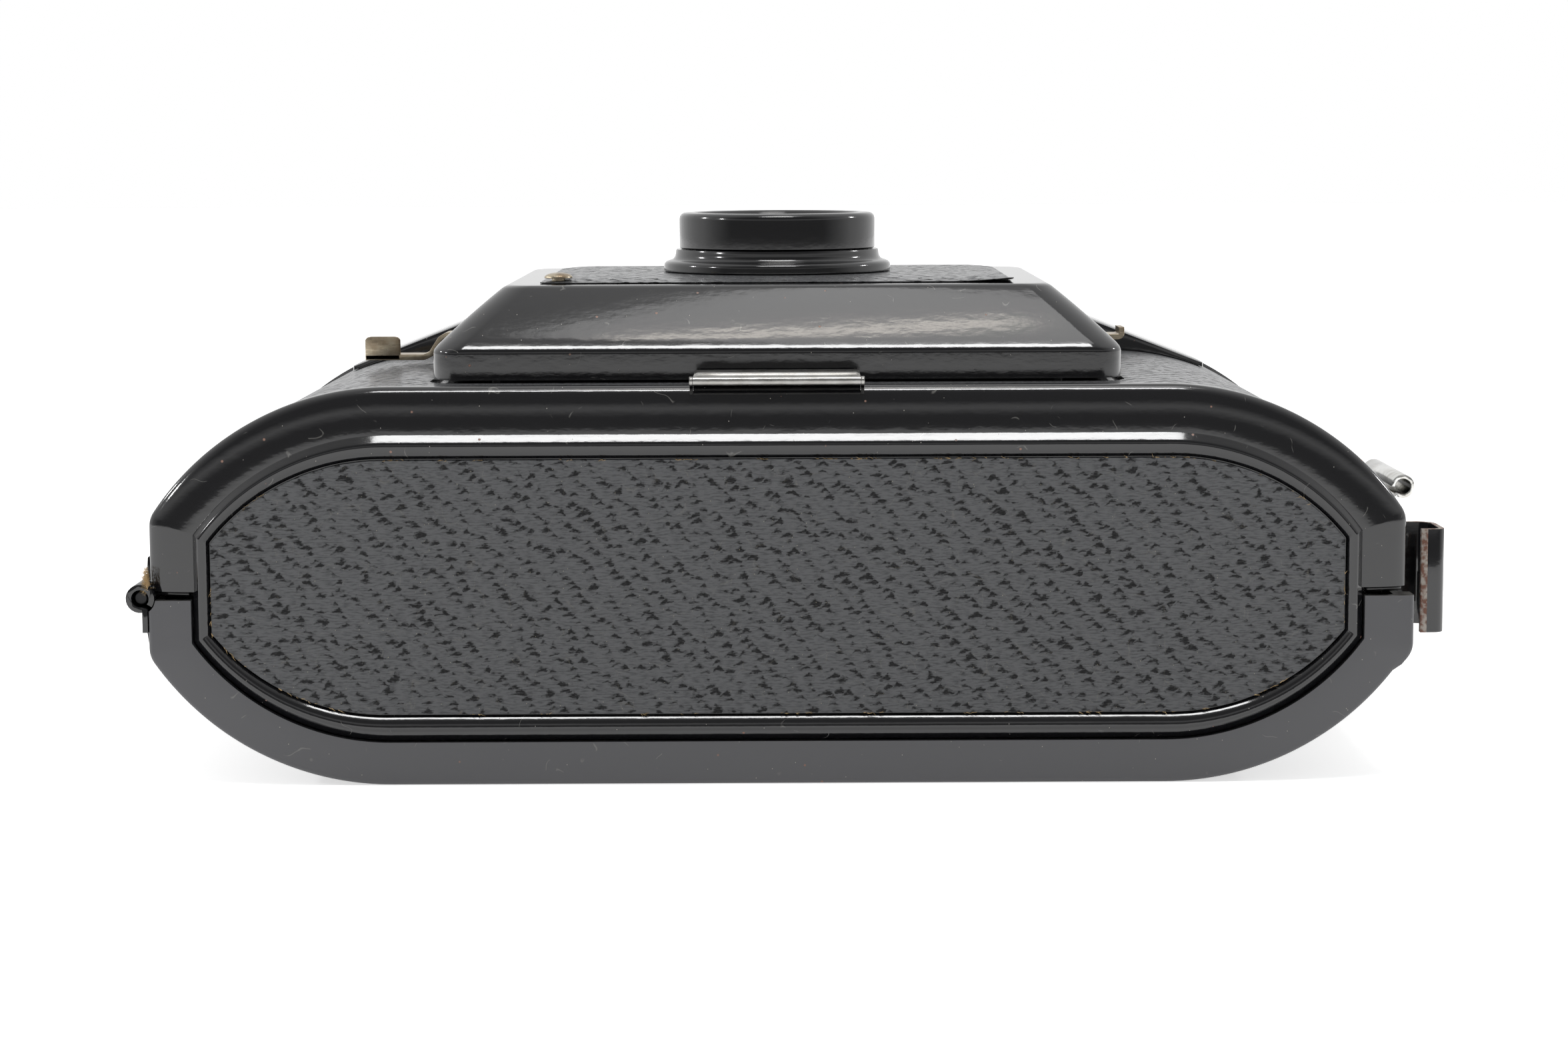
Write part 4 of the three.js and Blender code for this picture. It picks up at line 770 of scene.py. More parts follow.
bottom_cap = end_cap("bottom_cap")
stands_for(bottom_cap, "body", "gloss_black_enamel", "bottom_end_cap")
top_cap = turn_round(end_cap("top_cap"))
stands_for(top_cap, "body", "gloss_black_enamel", "top_end_cap")

# %% [markdown]
# The inlay is a die-cut piece of leathercloth glued inside the bead. It was cut a touch small, so a
# dark line runs round it, and its rim is frayed: the cut wanders by a tenth of a millimetre, and
# short cotton ends lie along it, in clumps.

# %% End inlays
INLAY_INSET = 7.78
INLAY_FACE = 45.1
INLAY_BACK = 44.6
INLAY_HALF_X = 60
INLAY_HALF_Z = 14
FRAY_COUNT = 560


def inlay_rim():
    """The inlay's outline, as its cut wanders."""
    rim = []
    for x, y, z in stretched(INLAY_INSET, 0):
        drift = noise.noise(Vector((x * 0.8, z * 0.8, 0))) * 0.12
        away = Vector((x, z - MIDDLE)).normalized() * drift
        rim.append((x + away.x, z + away.y))
    return rim


def end_inlay(name):
    rings = []
    for pull, y in ((0.0, INLAY_BACK), (0.0, INLAY_FACE - 0.12), (0.05, INLAY_FACE)):
        narrow, flat = 1 - pull / INLAY_HALF_X, 1 - pull / INLAY_HALF_Z
        rings.append([(x * narrow, -y, MIDDLE + (z - MIDDLE) * flat) for x, z in inlay_rim()])
    return stack(name, rings, leather)


# %% Frayed cotton at the rim
def fibre(points, faces, path, width):
    """Adds one cotton end: a three-sided tube along a path of points, thin at its tip."""
    base = len(points)
    for i, here in enumerate(path):
        along = (path[min(i + 1, len(path) - 1)] - path[max(i - 1, 0)]).normalized()
        side = along.cross(Vector((0.31, 0.9, 0.27))).normalized()
        up = along.cross(side)
        radius = width * (1 - 0.8 * i / (len(path) - 1))
        for corner in range(3):
            angle = corner * 2 * math.pi / 3
            place = here + (side * math.cos(angle) + up * math.sin(angle)) * radius
            points.append((place.x, place.y, place.z))
    for i in range(len(path) - 1):
        for corner in range(3):
            after = (corner + 1) % 3
            low, high = base + i * 3, base + i * 3 + 3
            faces.append([low + corner, low + after, high + after, high + corner])
    last = base + 3 * len(path) - 3
    faces.append([base + 2, base + 1, base])
    faces.append([last, last + 1, last + 2])


def fray(name, seed):
    """Cotton ends that lie along the inlay's rim, in clumps."""
    draw = random.Random(seed)
    rim = inlay_rim()
    lengths = run_lengths(rim, closed=True)
    points, faces = [], []
    for _ in range(FRAY_COUNT):
        place = draw.uniform(0, lengths[-1])
        i = bisect.bisect_right(lengths, place) - 1
        a, b = Vector(rim[i]), Vector(rim[(i + 1) % len(rim)])
        start = a.lerp(b, (place - lengths[i]) / (lengths[i + 1] - lengths[i]))
        if noise.noise(Vector((start.x * 0.25, start.y * 0.25, seed))) < 0.05:
            continue
        heading = math.atan2((b - a).y, (b - a).x) + draw.gauss(0, 0.35)
        length = draw.uniform(0.15, 0.6)
        end = start + Vector((math.cos(heading), math.sin(heading))) * length
        sway = Vector((draw.uniform(-0.05, 0.05), draw.uniform(-0.05, 0.05)))
        middle = start.lerp(end, 0.5) + sway
        rises = ((start, 0.0), (middle, draw.uniform(0.02, 0.1)), (end, 0.02))
        path = [Vector((p.x, -INLAY_FACE - rise, p.y)) for p, rise in rises]
        fibre(points, faces, path, draw.uniform(0.018, 0.042))
    return build(name, points, faces, cotton)


stands_for(end_inlay("bottom_cloth"), "body", "black_leatherette", "bottom_inlay")
stands_for(turn_round(end_inlay("top_cloth")), "body", "black_leatherette", "top_inlay")
stands_for(fray("bottom_fray", 3), "body", "black_leatherette")
stands_for(turn_round(fray("top_fray", 5)), "body", "black_leatherette")

# %% [markdown]
# ## Front and back
#
# The front's leathercloth wraps from one side over the shoulders to the other, with a window for
# the housing. The back is a second pressing: a shallow tray whose flat end flanges frame the end
# panels. At the latch side its edge stands slightly proud, so that it can be caught with a nail.

# %% Front leathercloth
HOUSING_X = 39.25
HOUSING_Y = 32.5
HOOD_HALF = 55
CLOTH_END = 41.45
HINGE_X = -70.45
HINGE_ROOM = 1.72
PAST_END = 46


def wrap_profile(outer, inner, end):
    """A sheet's closed profile from end to end, with soft outer edges."""
    near = [(outer + 0.12, -end), (outer, -end + 0.15)]
    return near + flipped(near) + [(inner, end), (inner, -end)]


def hinge_room():
    """A cutter for the room that the hinge's knuckles need."""
    return drill(HINGE_ROOM, -PAST_END, PAST_END, 32, (HINGE_X, 0, SEAM), "Y")


front_cloth = sweep("front_cloth", upper, wrap_profile(0.4, 0.9, CLOTH_END), rubbed_leather)
window_rings = [oblong(HOUSING_X + 0.4, HOUSING_Y + 0.4, 3.5, z) for z in (30, 50)]
under_hood = block((-HOOD_HALF - 0.05, 20.95, 30), (HOOD_HALF + 0.05, 45, 50))
cut(front_cloth, stack("window", window_rings, leather), under_hood, hinge_room())
stands_for(front_cloth, "body", "black_leatherette", "front_leather")

# %% Back cover and its leathercloth
BACK_END = 45.1
BACK_RIM = 3.4
GROOVE = 0.55
FLANGE_INSET = 4.8
LIP_OUT = 0.7
LIP_LOW = 8.5
WINDOW_OUT = 28.5


def proud_edge(x, y, z):
    """Lets the latch side's edge stand out, beside the two ends only."""
    if x > HALF_WIDTH - 1.2 and abs(y) > BACK_END - BACK_RIM - 0.01 and z > LIP_LOW:
        share = min((z - LIP_LOW) / 7, 1)
        return (x + LIP_OUT * share * share * (3 - 2 * share), y, z)
    return (x, y, z)


def back_profile():
    """The tray's side: end flange, rolled rim, groove beside the cloth, and its inside."""
    end = BACK_END
    groove_end = end - BACK_RIM
    near = [(FLANGE_INSET, -end), (0.55, -end), (0.34, -end + 0.05), (0.15, -end + 0.17)]
    near += [(0.04, -end + 0.35), (0.0, -end + 0.55), (0.0, -groove_end - 0.1)]
    near += [(0.1, -groove_end), (GROOVE, -groove_end + 0.02)]
    inside = [(FLANGE_INSET, end - SHEET), (1.9, end - SHEET), (1.45, end - SHEET - 0.5)]
    return near + flipped(near) + inside + flipped(inside)


def window_holes(radius):
    """Cutters for the two red windows."""
    return [drill(radius, -1, 3, 48, (side * WINDOW_OUT, 0, 0)) for side in (-1, 1)]


def seam_edge(normal, centre):
    """The sheet's cut edge along the seam."""
    return normal.z > 0.99 and centre.z > SEAM_BOTTOM - 0.01


back_shell = sweep("back_shell", lower, back_profile(), flange_enamel, proud_edge)
cut(back_shell, hinge_room(), *window_holes(4))
repaint(back_shell, bare_steel, seam_edge)
stands_for(back_shell, "back", "satin_black_enamel", "back_cover")

back_cloth = sweep("back_cloth", lower, wrap_profile(0.0, 0.5, BACK_END - BACK_RIM - 0.05), leather)
cut(back_cloth, hinge_room(), *window_holes(4.05))
stands_for(back_cloth, "back", "black_leatherette", "back_leather")

# %% [markdown]
# ## Front housing
#
# The housing is drawn from one sheet: an upright rim, a soft fold with a narrow flat above it, four
# slopes that bow out by about a tenth of a millimetre, and a rounded top edge. Its rings are
# rounded oblongs whose size follows one side profile, so the folds run round the corners as on the
# pressing.

# %% Housing
HOUSING_BASE = 44.1
HOUSING_FOLD = 47.35
HOUSING_TOP = 54.5
SLOPE_X = 7.85
SLOPE_Y = 7.0
SLOPE_BOW = 0.13
SLOPE_PARTS = 8
FOLD_FLAT = 0.8
FOLD_TILT = math.radians(39)
BASE_CORNER = 3.5
TOP_CORNER = 3.0
CENTRE_INSET = 15
LENS_RADIUS = 8
LENS_BORE = 7.1
LEVER_Z = 47.1
RIVET_AT = (-25.5, -19.6, 0)


def housing_ring(inward, z):
    """The housing's outline where its side profile has come this far inward across the width."""
    corner = BASE_CORNER + (TOP_CORNER - BASE_CORNER) * min(inward / SLOPE_X, 1)
    return oblong(HOUSING_X - inward, HOUSING_Y - inward * SLOPE_Y / SLOPE_X, corner, z, 10)


def slope_profile():
    """The side profile from the fold up: the narrow flat, and the bowed slope without its top."""
    start = FOLD_FLAT * math.sin(FOLD_TILT)
    start_z = HOUSING_FOLD + FOLD_FLAT * math.cos(FOLD_TILT)
    across, rise = SLOPE_X - start, HOUSING_TOP - start_z
    slant = math.hypot(across, rise)
    profile = [(0.0, HOUSING_FOLD), (start, start_z)]
    for i in range(1, SLOPE_PARTS):
        share = i / SLOPE_PARTS
        swell = SLOPE_BOW * 4 * share * (1 - share)
        inward = start + across * share - swell * rise / slant
        profile.append((inward, start_z + rise * share + swell * across / slant))
    return profile


def rivet_hole():
    """A cutter for the rivet's shank."""
    return drill(0.85, 50, 60, 24, RIVET_AT)


outside = [(0.0, HOUSING_BASE), (0.0, HOUSING_BASE + 0.7)] + slope_profile()
outside += [(SLOPE_X, HOUSING_TOP), (CENTRE_INSET, HOUSING_TOP)]
outside = rounded(outside, [0.0, 1.0] + [0] * SLOPE_PARTS + [2.4], 8)
inside = [(CENTRE_INSET, HOUSING_TOP - SHEET), (SLOPE_X + 0.5, HOUSING_TOP - SHEET)]
inside += [(SHEET, HOUSING_FOLD - 0.3), (SHEET, HOUSING_BASE)]
rings = [housing_ring(inward, z) for inward, z in outside[::-1] + inside[::-1]]
housing = stack("housing", rings, gloss_enamel, sharp_degrees=50)
lever_slot = block((-41, -7.0, LEVER_Z - 0.4), (-36.5, 2.4, LEVER_Z + 1.1))
time_slot = block((36.5, 1.8, 46.15), (41, 11.2, 47.4))
cut(housing, drill(LENS_BORE, 50, 60, 96), rivet_hole(), lever_slot, time_slot)
stands_for(housing, "front", "gloss_black_enamel", "front_housing")

# %% [markdown]
# The flat top carries its own panel of leathercloth, held by glue and one domed rivet. Its near
# right corner has come loose and lifts by a few tenths. Rings of close points give enough places to
# lift it and to make the edge wander.

# %% Panel of leathercloth on the housing
PANEL_X = 27.6
PANEL_Y = 21.7
PANEL_LOW = 54.55
PANEL_TOP = 55.05


def lifted(x, y):
    """How far the loose near right corner stands up."""
    reach = max(0.0, 1 - math.hypot(x - PANEL_X, y + PANEL_Y) / 7)
    return 0.42 * reach**1.5


def panel_height(inset):
    """The cloth's border was pressed down thin; it swells to its full thickness further in."""
    share = min(inset / 4.5, 1)
    return PANEL_LOW + 0.1 + (PANEL_TOP - PANEL_LOW - 0.1) * math.sin(share * math.pi / 2)


def panel_edge():
    """The panel's outline as a run of short steps, which wanders as the cut does."""
    ring = oblong(PANEL_X, PANEL_Y, 0.8, 0.0, 5)
    edge = []
    for a, b in zip(ring, ring[1:] + ring[:1]):
        parts = max(1, int(math.dist(a, b) / 1.5))
        for i in range(parts):
            x = a[0] + (b[0] - a[0]) * i / parts
            y = a[1] + (b[1] - a[1]) * i / parts
            drift = noise.noise(Vector((x * 0.5, y * 0.5, 7))) * 0.1
            edge.append((x * (1 + drift / PANEL_X), y * (1 + drift / PANEL_Y)))
    return edge


def panel_ring(edge, inset, top):
    """The panel's outline at an inset, on its top or its underside."""
    ring = []
    for x, y in edge:
        x, y = x * (1 - inset / PANEL_X), y * (1 - inset / PANEL_Y)
        ring.append((x, y, (panel_height(inset) if top else PANEL_LOW) + lifted(x, y)))
    return ring


edge = panel_edge()
insets = (0.05, 0.6, 1.5, 3.0, 5.0, 9.0)
panel_rings = [panel_ring(edge, inset, False) for inset in insets[::-1]]
panel_rings += [panel_ring(edge, inset, True) for inset in (0,) + insets]
panel = stack("panel_cloth", panel_rings, rubbed_leather)
for loop, corner in zip(panel.data.loops, panel.data.uv_layers["grain"].data):
    place = panel.data.vertices[loop.vertex_index].co / MM
    corner.uv = (place.x, place.y)
cut(panel, rivet_hole(), drill(LENS_RADIUS, 50, 60, 96))
stands_for(panel, "front", "black_leatherette", "panel_leather")

# %% Rivet
rivet_profile = [(0, 52.9), (1.12, 52.9), (1.12, 53.45), (0.8, 53.5), (0.8, 55.1), (1.6, 55.1)]
rivet_profile += [(1.65, 55.16)]
for i in range(1, 9):
    angle = i * math.pi / 16
    rivet_profile.append((1.65 * math.cos(angle), 55.2 + 0.57 * math.sin(angle)))
rivet = turned("panel_rivet_head", rivet_profile, aged_nickel, 40, RIVET_AT)
stands_for(rivet, "front", "aged_nickel", "panel_rivet")

# %% [markdown]
# ## Lens ring
#
# Ring and flange are turned and enamelled. The flange has a rounded foot and a hollow that sweeps
# up to the ring; the ring's mouth is a bevel that leads in to the glass. Spinning one profile gives
# each.

# %% Lens flange, ring and glass
FLANGE_BASE = 55.1
RING_BASE = 57.85


def on_base(base, profile):
    """Lifts a profile of (radius, height) onto its base."""
    return [(radius, base + height) for radius, height in profile]


flange_side = [(LENS_BORE, 0), (13.7, 0), (13.85, 0.12), (13.85, 0.75), (13.78, 1.0), (13.55, 1.22)]
flange_side += [(13.2, 1.36), (12.9, 1.44), (12.66, 1.6), (12.5, 1.85), (12.42, 2.2), (12.38, 2.55)]
flange_side += [(12.3, 2.7), (8.05, 2.7), (8.05, 1.55), (LENS_BORE, 1.55)]
flange = turned("lens_flange_disc", on_base(FLANGE_BASE, flange_side), ring_enamel, 144)
stands_for(flange, "front", "gloss_black_enamel", "lens_flange")
ring_side = [(LENS_BORE, 0), (11.75, 0), (11.95, 0.18), (11.95, 3.6), (11.88, 3.95), (11.7, 4.2)]
ring_side += [(11.42, 4.36), (11.1, 4.4), (10.2, 4.4), (10.0, 4.34), (9.85, 4.2), (7.3, 1.3)]
ring_side += [(LENS_BORE, 1.1)]
ring = turned("lens_ring_turned", on_base(RING_BASE, ring_side), ring_enamel, 144)
stands_for(ring, "front", "gloss_black_enamel", "lens_ring")
glass_side = [(0, 57.19), (2.8, 57.13), (5.6, 56.95), (7.7, 56.72), (8, 56.75), (8, 57.75)]
glass_side += [(7.7, 57.8)] + [(r, 57.78 + 0.76 * (1 - (r / 8) ** 2)) for r in range(7, 0, -1)]
glass = turned("lens_glass_disc", glass_side + [(0, 58.54)], clear_glass, 96)
stands_for(glass, "front", "clear_glass", "lens")

# %% [markdown]
# ## Stand foot
#
# A small folded foot lies over the bottom end's front edge and swings up off it, to hold the camera
# upright. Its bracket is a plate with two ears. Both are bent from thin strip whose nickel is
# rubbed.

# %% Stand bracket, foot and pin
PIN_Y = -44.6
PIN_Z = 44.8
PIN_AT = (0, PIN_Y, PIN_Z)
PIN_BORE = 0.27
FOOT_REACH = 10.9
EAR_X = 9.44
EAR_HALF = 0.19

knuckle = arc(0, 0, 0.5, math.pi * 5 / 8, math.pi * 2, 11)
foot_side = [(0.0, 0.5)] + knuckle + [(0.5, 0.08), (3, 0.1), (6, 0.1), (9, 0.1), (FOOT_REACH, 0.1)]
foot_side += [(FOOT_REACH, 0.5), (9, 0.5), (6, 0.5), (3.2, 0.5)]
foot_side += [(2.3, 0.56), (1.9, 0.72), (1.6, 0.84)]
foot_side += [(1.35, 0.88), (1.12, 0.84), (0.95, 0.72), (0.85, 0.58), (0.7, 0.5), (0.45, 0.47)]
rings = []
for x in (-9.22, -9.1, -8.7, -6, -3, 0, 3, 6, 8.7, 9.1, 9.22):
    trim = 0.8 if abs(x) > 9.15 else (0.35 if abs(x) > 9 else 0.0)
    wave = 0.025 * noise.noise(Vector((x * 0.3, 2, 0)))
    ring = []
    for y, z in foot_side:
        sag = trim * 0.45 if z > 0.55 else 0.0
        swell = wave if 3 < y < 10 else 0.0
        ring.append((x, PIN_Y + min(y, FOOT_REACH - trim), PIN_Z + z - sag + swell))
    rings.append(ring)
foot = stack("stand_foot_plate", rings, rubbed_nickel)
cut(foot, drill(PIN_BORE, -9, 9, 20, PIN_AT, "X"))
stands_for(foot, "stand", "bright_nickel", "stand_foot")


def at_pin(name, side, low, high, bevel):
    """A closed outline in the side plane round the pin, drawn across from low to high."""
    outline = [(PIN_Y + y, PIN_Z + z) for y, z in side]
    return slab(name, outline, low, high, rubbed_nickel, bevel, "YZ")


base_side = [(0.72, -0.55), (5.2, -0.55), (5.2, -0.22), (0.72, -0.22)]
ear_side = [(-0.35, -0.36), (-0.47, -0.16), (-0.5, 0.05), (-0.42, 0.27), (-0.2, 0.44), (0.1, 0.5)]
ear_side += [(0.7, 0.42), (1.6, 0.1), (2.8, -0.2), (2.8, -0.55), (-0.05, -0.55)]
plates = [at_pin("base", base_side, -9.63, 9.63, 0.04)]
for middle in (-EAR_X, EAR_X):
    plates.append(at_pin("ear", ear_side, middle - EAR_HALF, middle + EAR_HALF, 0.06))
bracket = joined("stand_bracket_plate", plates)
cut(bracket, drill(PIN_BORE, -10, 10, 20, PIN_AT, "X"))
stands_for(bracket, "body", "bright_nickel", "stand_bracket")
pin = turned("stand_pin_wire", rod(0, 0.25, 9.6, 0.05), bright_nickel, 20, PIN_AT, "X")
stands_for(pin, "body", "bare_steel", "stand_pin")

# %% [markdown]
# ## Levers
#
# The release lever comes out of a slot in the housing's left rim, steps down and ends in a
# turned-up thumb tab. The time lever on the right is a short strip with its tip bent up. Both are
# bent nickel strip, drawn as a sheet that follows its side view.

# %% Release lever and time lever
PIVOT_X = -18
PIVOT = (PIVOT_X, 0, 0)
STRIP = 0.68
TAB_X = -50.45
lever_side = [(PIVOT_X, 47.45), (-39, 47.45), (-40.4, 47.45), (-41.2, 47.04), (-42.4, 45.15)]
lever_side = rounded(lever_side + [(-43.3, 44.75), (TAB_X, 44.75)], [0, 0.8, 1.0, 1.0, 0.8])
tab_side = [(TAB_X, 44.42), (-46.17, 44.42), (-46.17, 46.9), (-46.4, 47.2), (-46.9, 47.3)]
tab_side += [(-49.7, 47.3), (-50.2, 47.2), (TAB_X, 46.9)]
hub_side = [(1.2, LEVER_Z), (3.2, LEVER_Z), (3.2, LEVER_Z + 0.7), (1.2, LEVER_Z + 0.7)]
arm = strip_plate("arm", lever_side, STRIP, -2.0, 2.0, aged_nickel, 0.1)
tab = slab("tab", tab_side, -2.0, -1.3, aged_nickel, 0.12)
hub = turned("hub", hub_side, aged_nickel, 40, PIVOT)
cut(arm, drill(1.2, 46, 49, 32, PIVOT))
lever = joined("release_lever_strip", [arm, tab, hub])
stands_for(lever, "release", "aged_nickel", "release_lever")

time_side = rounded([(34.4, 46.65), (42.5, 46.65), (42.5, 47.85)], [0.5], 6)
time_strip = strip_plate("time_lever_strip", time_side, STRIP, 2.22, 6.78, aged_nickel, 0.14)
stands_for(time_strip, "time", "aged_nickel", "time_lever")

# %% [markdown]
# ## Hinge
#
# The back turns on a long rolled hinge of five knuckles down the left side. Each leaf is a strip
# rolled round the pin that runs out into a flat tail, which lies on the outside of the body. Torn
# cotton sticks out between the hinge and the end cap.

# %% Hinge leaves and pin
HINGE_END = 45.1
TAIL_END = 42.7
KNUCKLES = 5
KNUCKLE_GAP = 0.4
CURL_RADIUS = 1.28
CURL_STEPS = 22


def curl(start, end, tail_z):
    """A rolled knuckle's side view: round the pin, then straight along the outside of the body."""
    start, end = math.radians(start), math.radians(end)
    return arc(HINGE_X, SEAM, CURL_RADIUS, start, end, CURL_STEPS) + [(-69.95, tail_z)]


def hinge_leaf(name, first, path, tail):
    pieces = []
    pitch = 2 * HINGE_END / KNUCKLES
    for i in range(first, KNUCKLES, 2):
        low = -HINGE_END + i * pitch + KNUCKLE_GAP / 2
        high = low + pitch - KNUCKLE_GAP
        pieces.append(strip_plate("knuckle", path, 0.6, low, high, gloss_enamel, 0.1))
    pieces.append(slab("tail", tail, -TAIL_END, TAIL_END, gloss_enamel, 0.08))
    return joined(name, pieces)


front_tail = [(-70.08, 22.75), (-69.66, 22.75), (-69.66, 25.4), (-69.9, 25.4)]
back_tail = [(-69.66, 19.3), (-70.5, 19.2), (-69.84, 14.65), (-69.66, 14.65)]
front_leaf = hinge_leaf("hinge_front_leaf", 1, curl(397, 67, 24.4), front_tail)
stands_for(front_leaf, "body", "gloss_black_enamel", "hinge_leaf_front")
back_leaf = hinge_leaf("hinge_back_leaf", 0, curl(-397, -67, 17.2), back_tail)
stands_for(back_leaf, "back", "gloss_black_enamel", "hinge_leaf_back")
wire_side = rod(0, 0.7, 44.2, 0.1)
# The steel pin wears the inside's matt black: painted shade, so that the rolled knuckle's mouth
# reads dark.
hinge_wire = turned("hinge_wire", wire_side, inside_black, 28, (HINGE_X, 0, SEAM), "Y")
stands_for(hinge_wire, "body", "bare_steel", "hinge_pin")


def tuft(name, count, seed):
    """Torn cotton that sticks out between the hinge and the end cap, toward the hinge."""
    draw = random.Random(seed)
    points, faces = [], []
    for _ in range(count):
        rise = draw.random() ** 1.4
        here = Vector((-69.5 - 0.3 * rise, draw.uniform(-45.0, -43.2), 21.9 + 2.3 * rise))
        heading = Vector((-1, draw.uniform(-0.3, 0.1), draw.uniform(-0.5, 0.9))).normalized()
        path = [here]
        for _ in range(5):
            turn = Vector((draw.gauss(0, 0.4), draw.gauss(0, 0.1), draw.gauss(0, 0.45)))
            heading = (heading + turn).normalized()
            here = here + heading * draw.uniform(0.1, 0.26) * (1.1 - 0.6 * rise)
            path.append(here)
        fibre(points, faces, path, draw.uniform(0.018, 0.034))
    return build(name, points, faces, cotton)


stands_for(tuft("hinge_tuft", 330, 9), "body", "black_leatherette")

# %% [markdown]
# ## Strap lugs and latch
#
# On the right side sit two lugs, bent from enamelled strip whose cut edges have rusted, and the
# latch: a nickel plate on a pin, with its upper edge rolled into a tube for the finger.

# %% Strap lugs
LUG_LOW = 16
LUG_HIGH = 27.7
LUG_START = -40.5
LUG_WALL = 69.58
LUG_EDGE = 71.7
LUG_OUT = 74.17
LUG_THICK = 0.62
FAR_BEND = 1.85
NEAR_BEND = 0.9


def lug_path():
    """The lug seen from the front: off the wall, round two bends and back to its near edge."""
    path = [(LUG_WALL, LUG_START + 11.6), (LUG_WALL, LUG_START + 8.1)]
    path += [(LUG_WALL + 0.65, LUG_START + 7.1)]
    turn = math.pi / 2
    path += arc(LUG_OUT - FAR_BEND, LUG_START + 7.08 - FAR_BEND, FAR_BEND, turn, 0, 8)
    path += arc(LUG_OUT - NEAR_BEND, LUG_START + NEAR_BEND, NEAR_BEND, 0, -turn, 8)
    return path + [(LUG_EDGE + 0.75, LUG_START - 0.03), (LUG_EDGE, LUG_START - 0.06)]


def lug_cut(normal, centre):
    """The strip's cut edges: its two sides and its near end."""
    return abs(normal.z) > 0.7 or (centre.x < LUG_EDGE + 0.75 and centre.y < LUG_START + 0.4)


def strap_lug(name):
    low, high = LUG_LOW + 0.02, LUG_HIGH - 0.02
    band = strip_plate(name, lug_path(), LUG_THICK, low, high, gloss_enamel, 0.1, "XY")
    cut(band, block((60, -PAST_END, 10), (70.82, PAST_END, 21.6)))
    repaint(band, rust, lug_cut)
    return band


near_lug = strap_lug("near_strap_lug")
stands_for(near_lug, "body", "gloss_black_enamel", "strap_lug_bottom")
far_lug = strap_lug("far_strap_lug")
far_lug.data.transform(Matrix.Scale(-1, 4, (0, 1, 0)))
far_lug.data.flip_normals()
stands_for(far_lug, "body", "gloss_black_enamel", "strap_lug_top")

# %% Latch
LATCH_X = 71.6
LATCH_Z = 15.5
LATCH_HALF = 10
latch_side = [(-0.7, 0.645), (-0.7, 4.1), (-0.45, 6.84), (0.0, 9.4), (0.9, 11.3)]
latch_side += arc(3.7, 13.7, 1.18, 1.28 * math.pi, 3 * math.pi, 24)
latch_side = [(LATCH_X + x, LATCH_Z + z) for x, z in latch_side]
tube_side = rod(0.8, 1.25, LATCH_HALF, 0.1)
plate = strip_plate("plate", latch_side, 0.48, -LATCH_HALF, LATCH_HALF, bright_nickel, 0.08)
tube = turned("tube", tube_side, bright_nickel, 40, (LATCH_X, 0, LATCH_Z), "Y")
stands_for(joined("latch_plate", [plate, tube]), "latch", "bright_nickel", "back_latch")

# %% [markdown]
# ## Hood
#
# The hood is a pressed bridge across the far end, raised over the front beside the housing. In the
# photograph only its two shoulders show.

# %% Hood
HOOD_TOP = 51.5
HOOD_FLAT = 31
HOOD_FRONT = 21
HOOD_BACK = 42.85
HOOD_UNDER_STEPS = 6


def hood_height(x):
    """How high the body's outline stands at x."""
    across = x - (HALF_WIDTH - SHOULDER_REACH)
    if across <= 0:
        return THICKNESS
    return THICKNESS - SHOULDER_RADIUS + math.sqrt(SHOULDER_RADIUS**2 - across**2)


def hood_run(inset):
    """The hood's upper line from left to right at an inset."""
    half = [
        (HOOD_HALF - inset, hood_height(HOOD_HALF) + 0.3 - inset * 0.3),
        (HOOD_FLAT - inset * 0.25, HOOD_TOP - inset),
        (0, HOOD_TOP - inset),
    ]
    half = rounded(half, [6], 8)
    return [(-x, z) for x, z in half] + half[-2::-1]


def hood_ring(inset, y):
    """The upper line, and an underside that follows the body."""
    flat_from = HALF_WIDTH - SHOULDER_REACH
    reach = HOOD_HALF - inset - flat_from
    half = [flat_from + reach * i / HOOD_UNDER_STEPS for i in range(HOOD_UNDER_STEPS, -1, -1)]
    under = [(x, hood_height(x) - 0.3) for x in half]
    return [(x, y, z) for x, z in hood_run(inset) + under + mirrored(under)]


hood_steps = [(0.6, HOOD_FRONT), (0.15, HOOD_FRONT + 0.2), (0.0, HOOD_FRONT + 0.7)]
hood_steps += [(0.0, HOOD_BACK - 1.4), (0.3, HOOD_BACK - 0.5), (1.0, HOOD_BACK)]
hood = stack("hood_pressing", [hood_ring(inset, y) for inset, y in hood_steps], gloss_enamel)
cut(hood, block((-HOUSING_X - 0.9, 15, 20), (HOUSING_X + 0.9, HOUSING_Y + 0.9, 60)))
stands_for(hood, "body", "gloss_black_enamel", "top_hood")

# %% [markdown]
# ## Top end
#
# The finder is a plain oblong tube with a glass at each end, set on the top panel so that it looks
# the way the lens does. The winding knob beside it is turned, with a milled edge.

# %% Finder
FINDER_LOW = 8.65
FINDER_HIGH = 35.55
FINDER_MIDDLE = 50.85


def finder_ring(grow, z):
    """The tube's section at one height, grown or shrunk."""
    corner = max(0.7 + grow, 0.15)
    return [(x, FINDER_MIDDLE + y, z) for x, y, _ in oblong(12 + grow, 5.7 + grow, corner, z, 4)]


finder_steps = [(-0.2, FINDER_LOW), (0, FINDER_LOW + 0.2), (0, FINDER_HIGH - 0.2)]
finder_steps += [(-0.2, FINDER_HIGH), (-1.4, FINDER_HIGH), (-1.4, FINDER_HIGH - 1.7)]
finder_steps += [(-2.1, FINDER_HIGH - 1.75), (-2.1, FINDER_LOW + 1.75)]
finder_steps += [(-1.4, FINDER_LOW + 1.7), (-1.4, FINDER_LOW), (-0.2, FINDER_LOW)]
finder = stack("finder_box", [finder_ring(*step) for step in finder_steps], gloss_enamel, False)
stands_for(finder, "body", "gloss_black_enamel", "finder_tube")

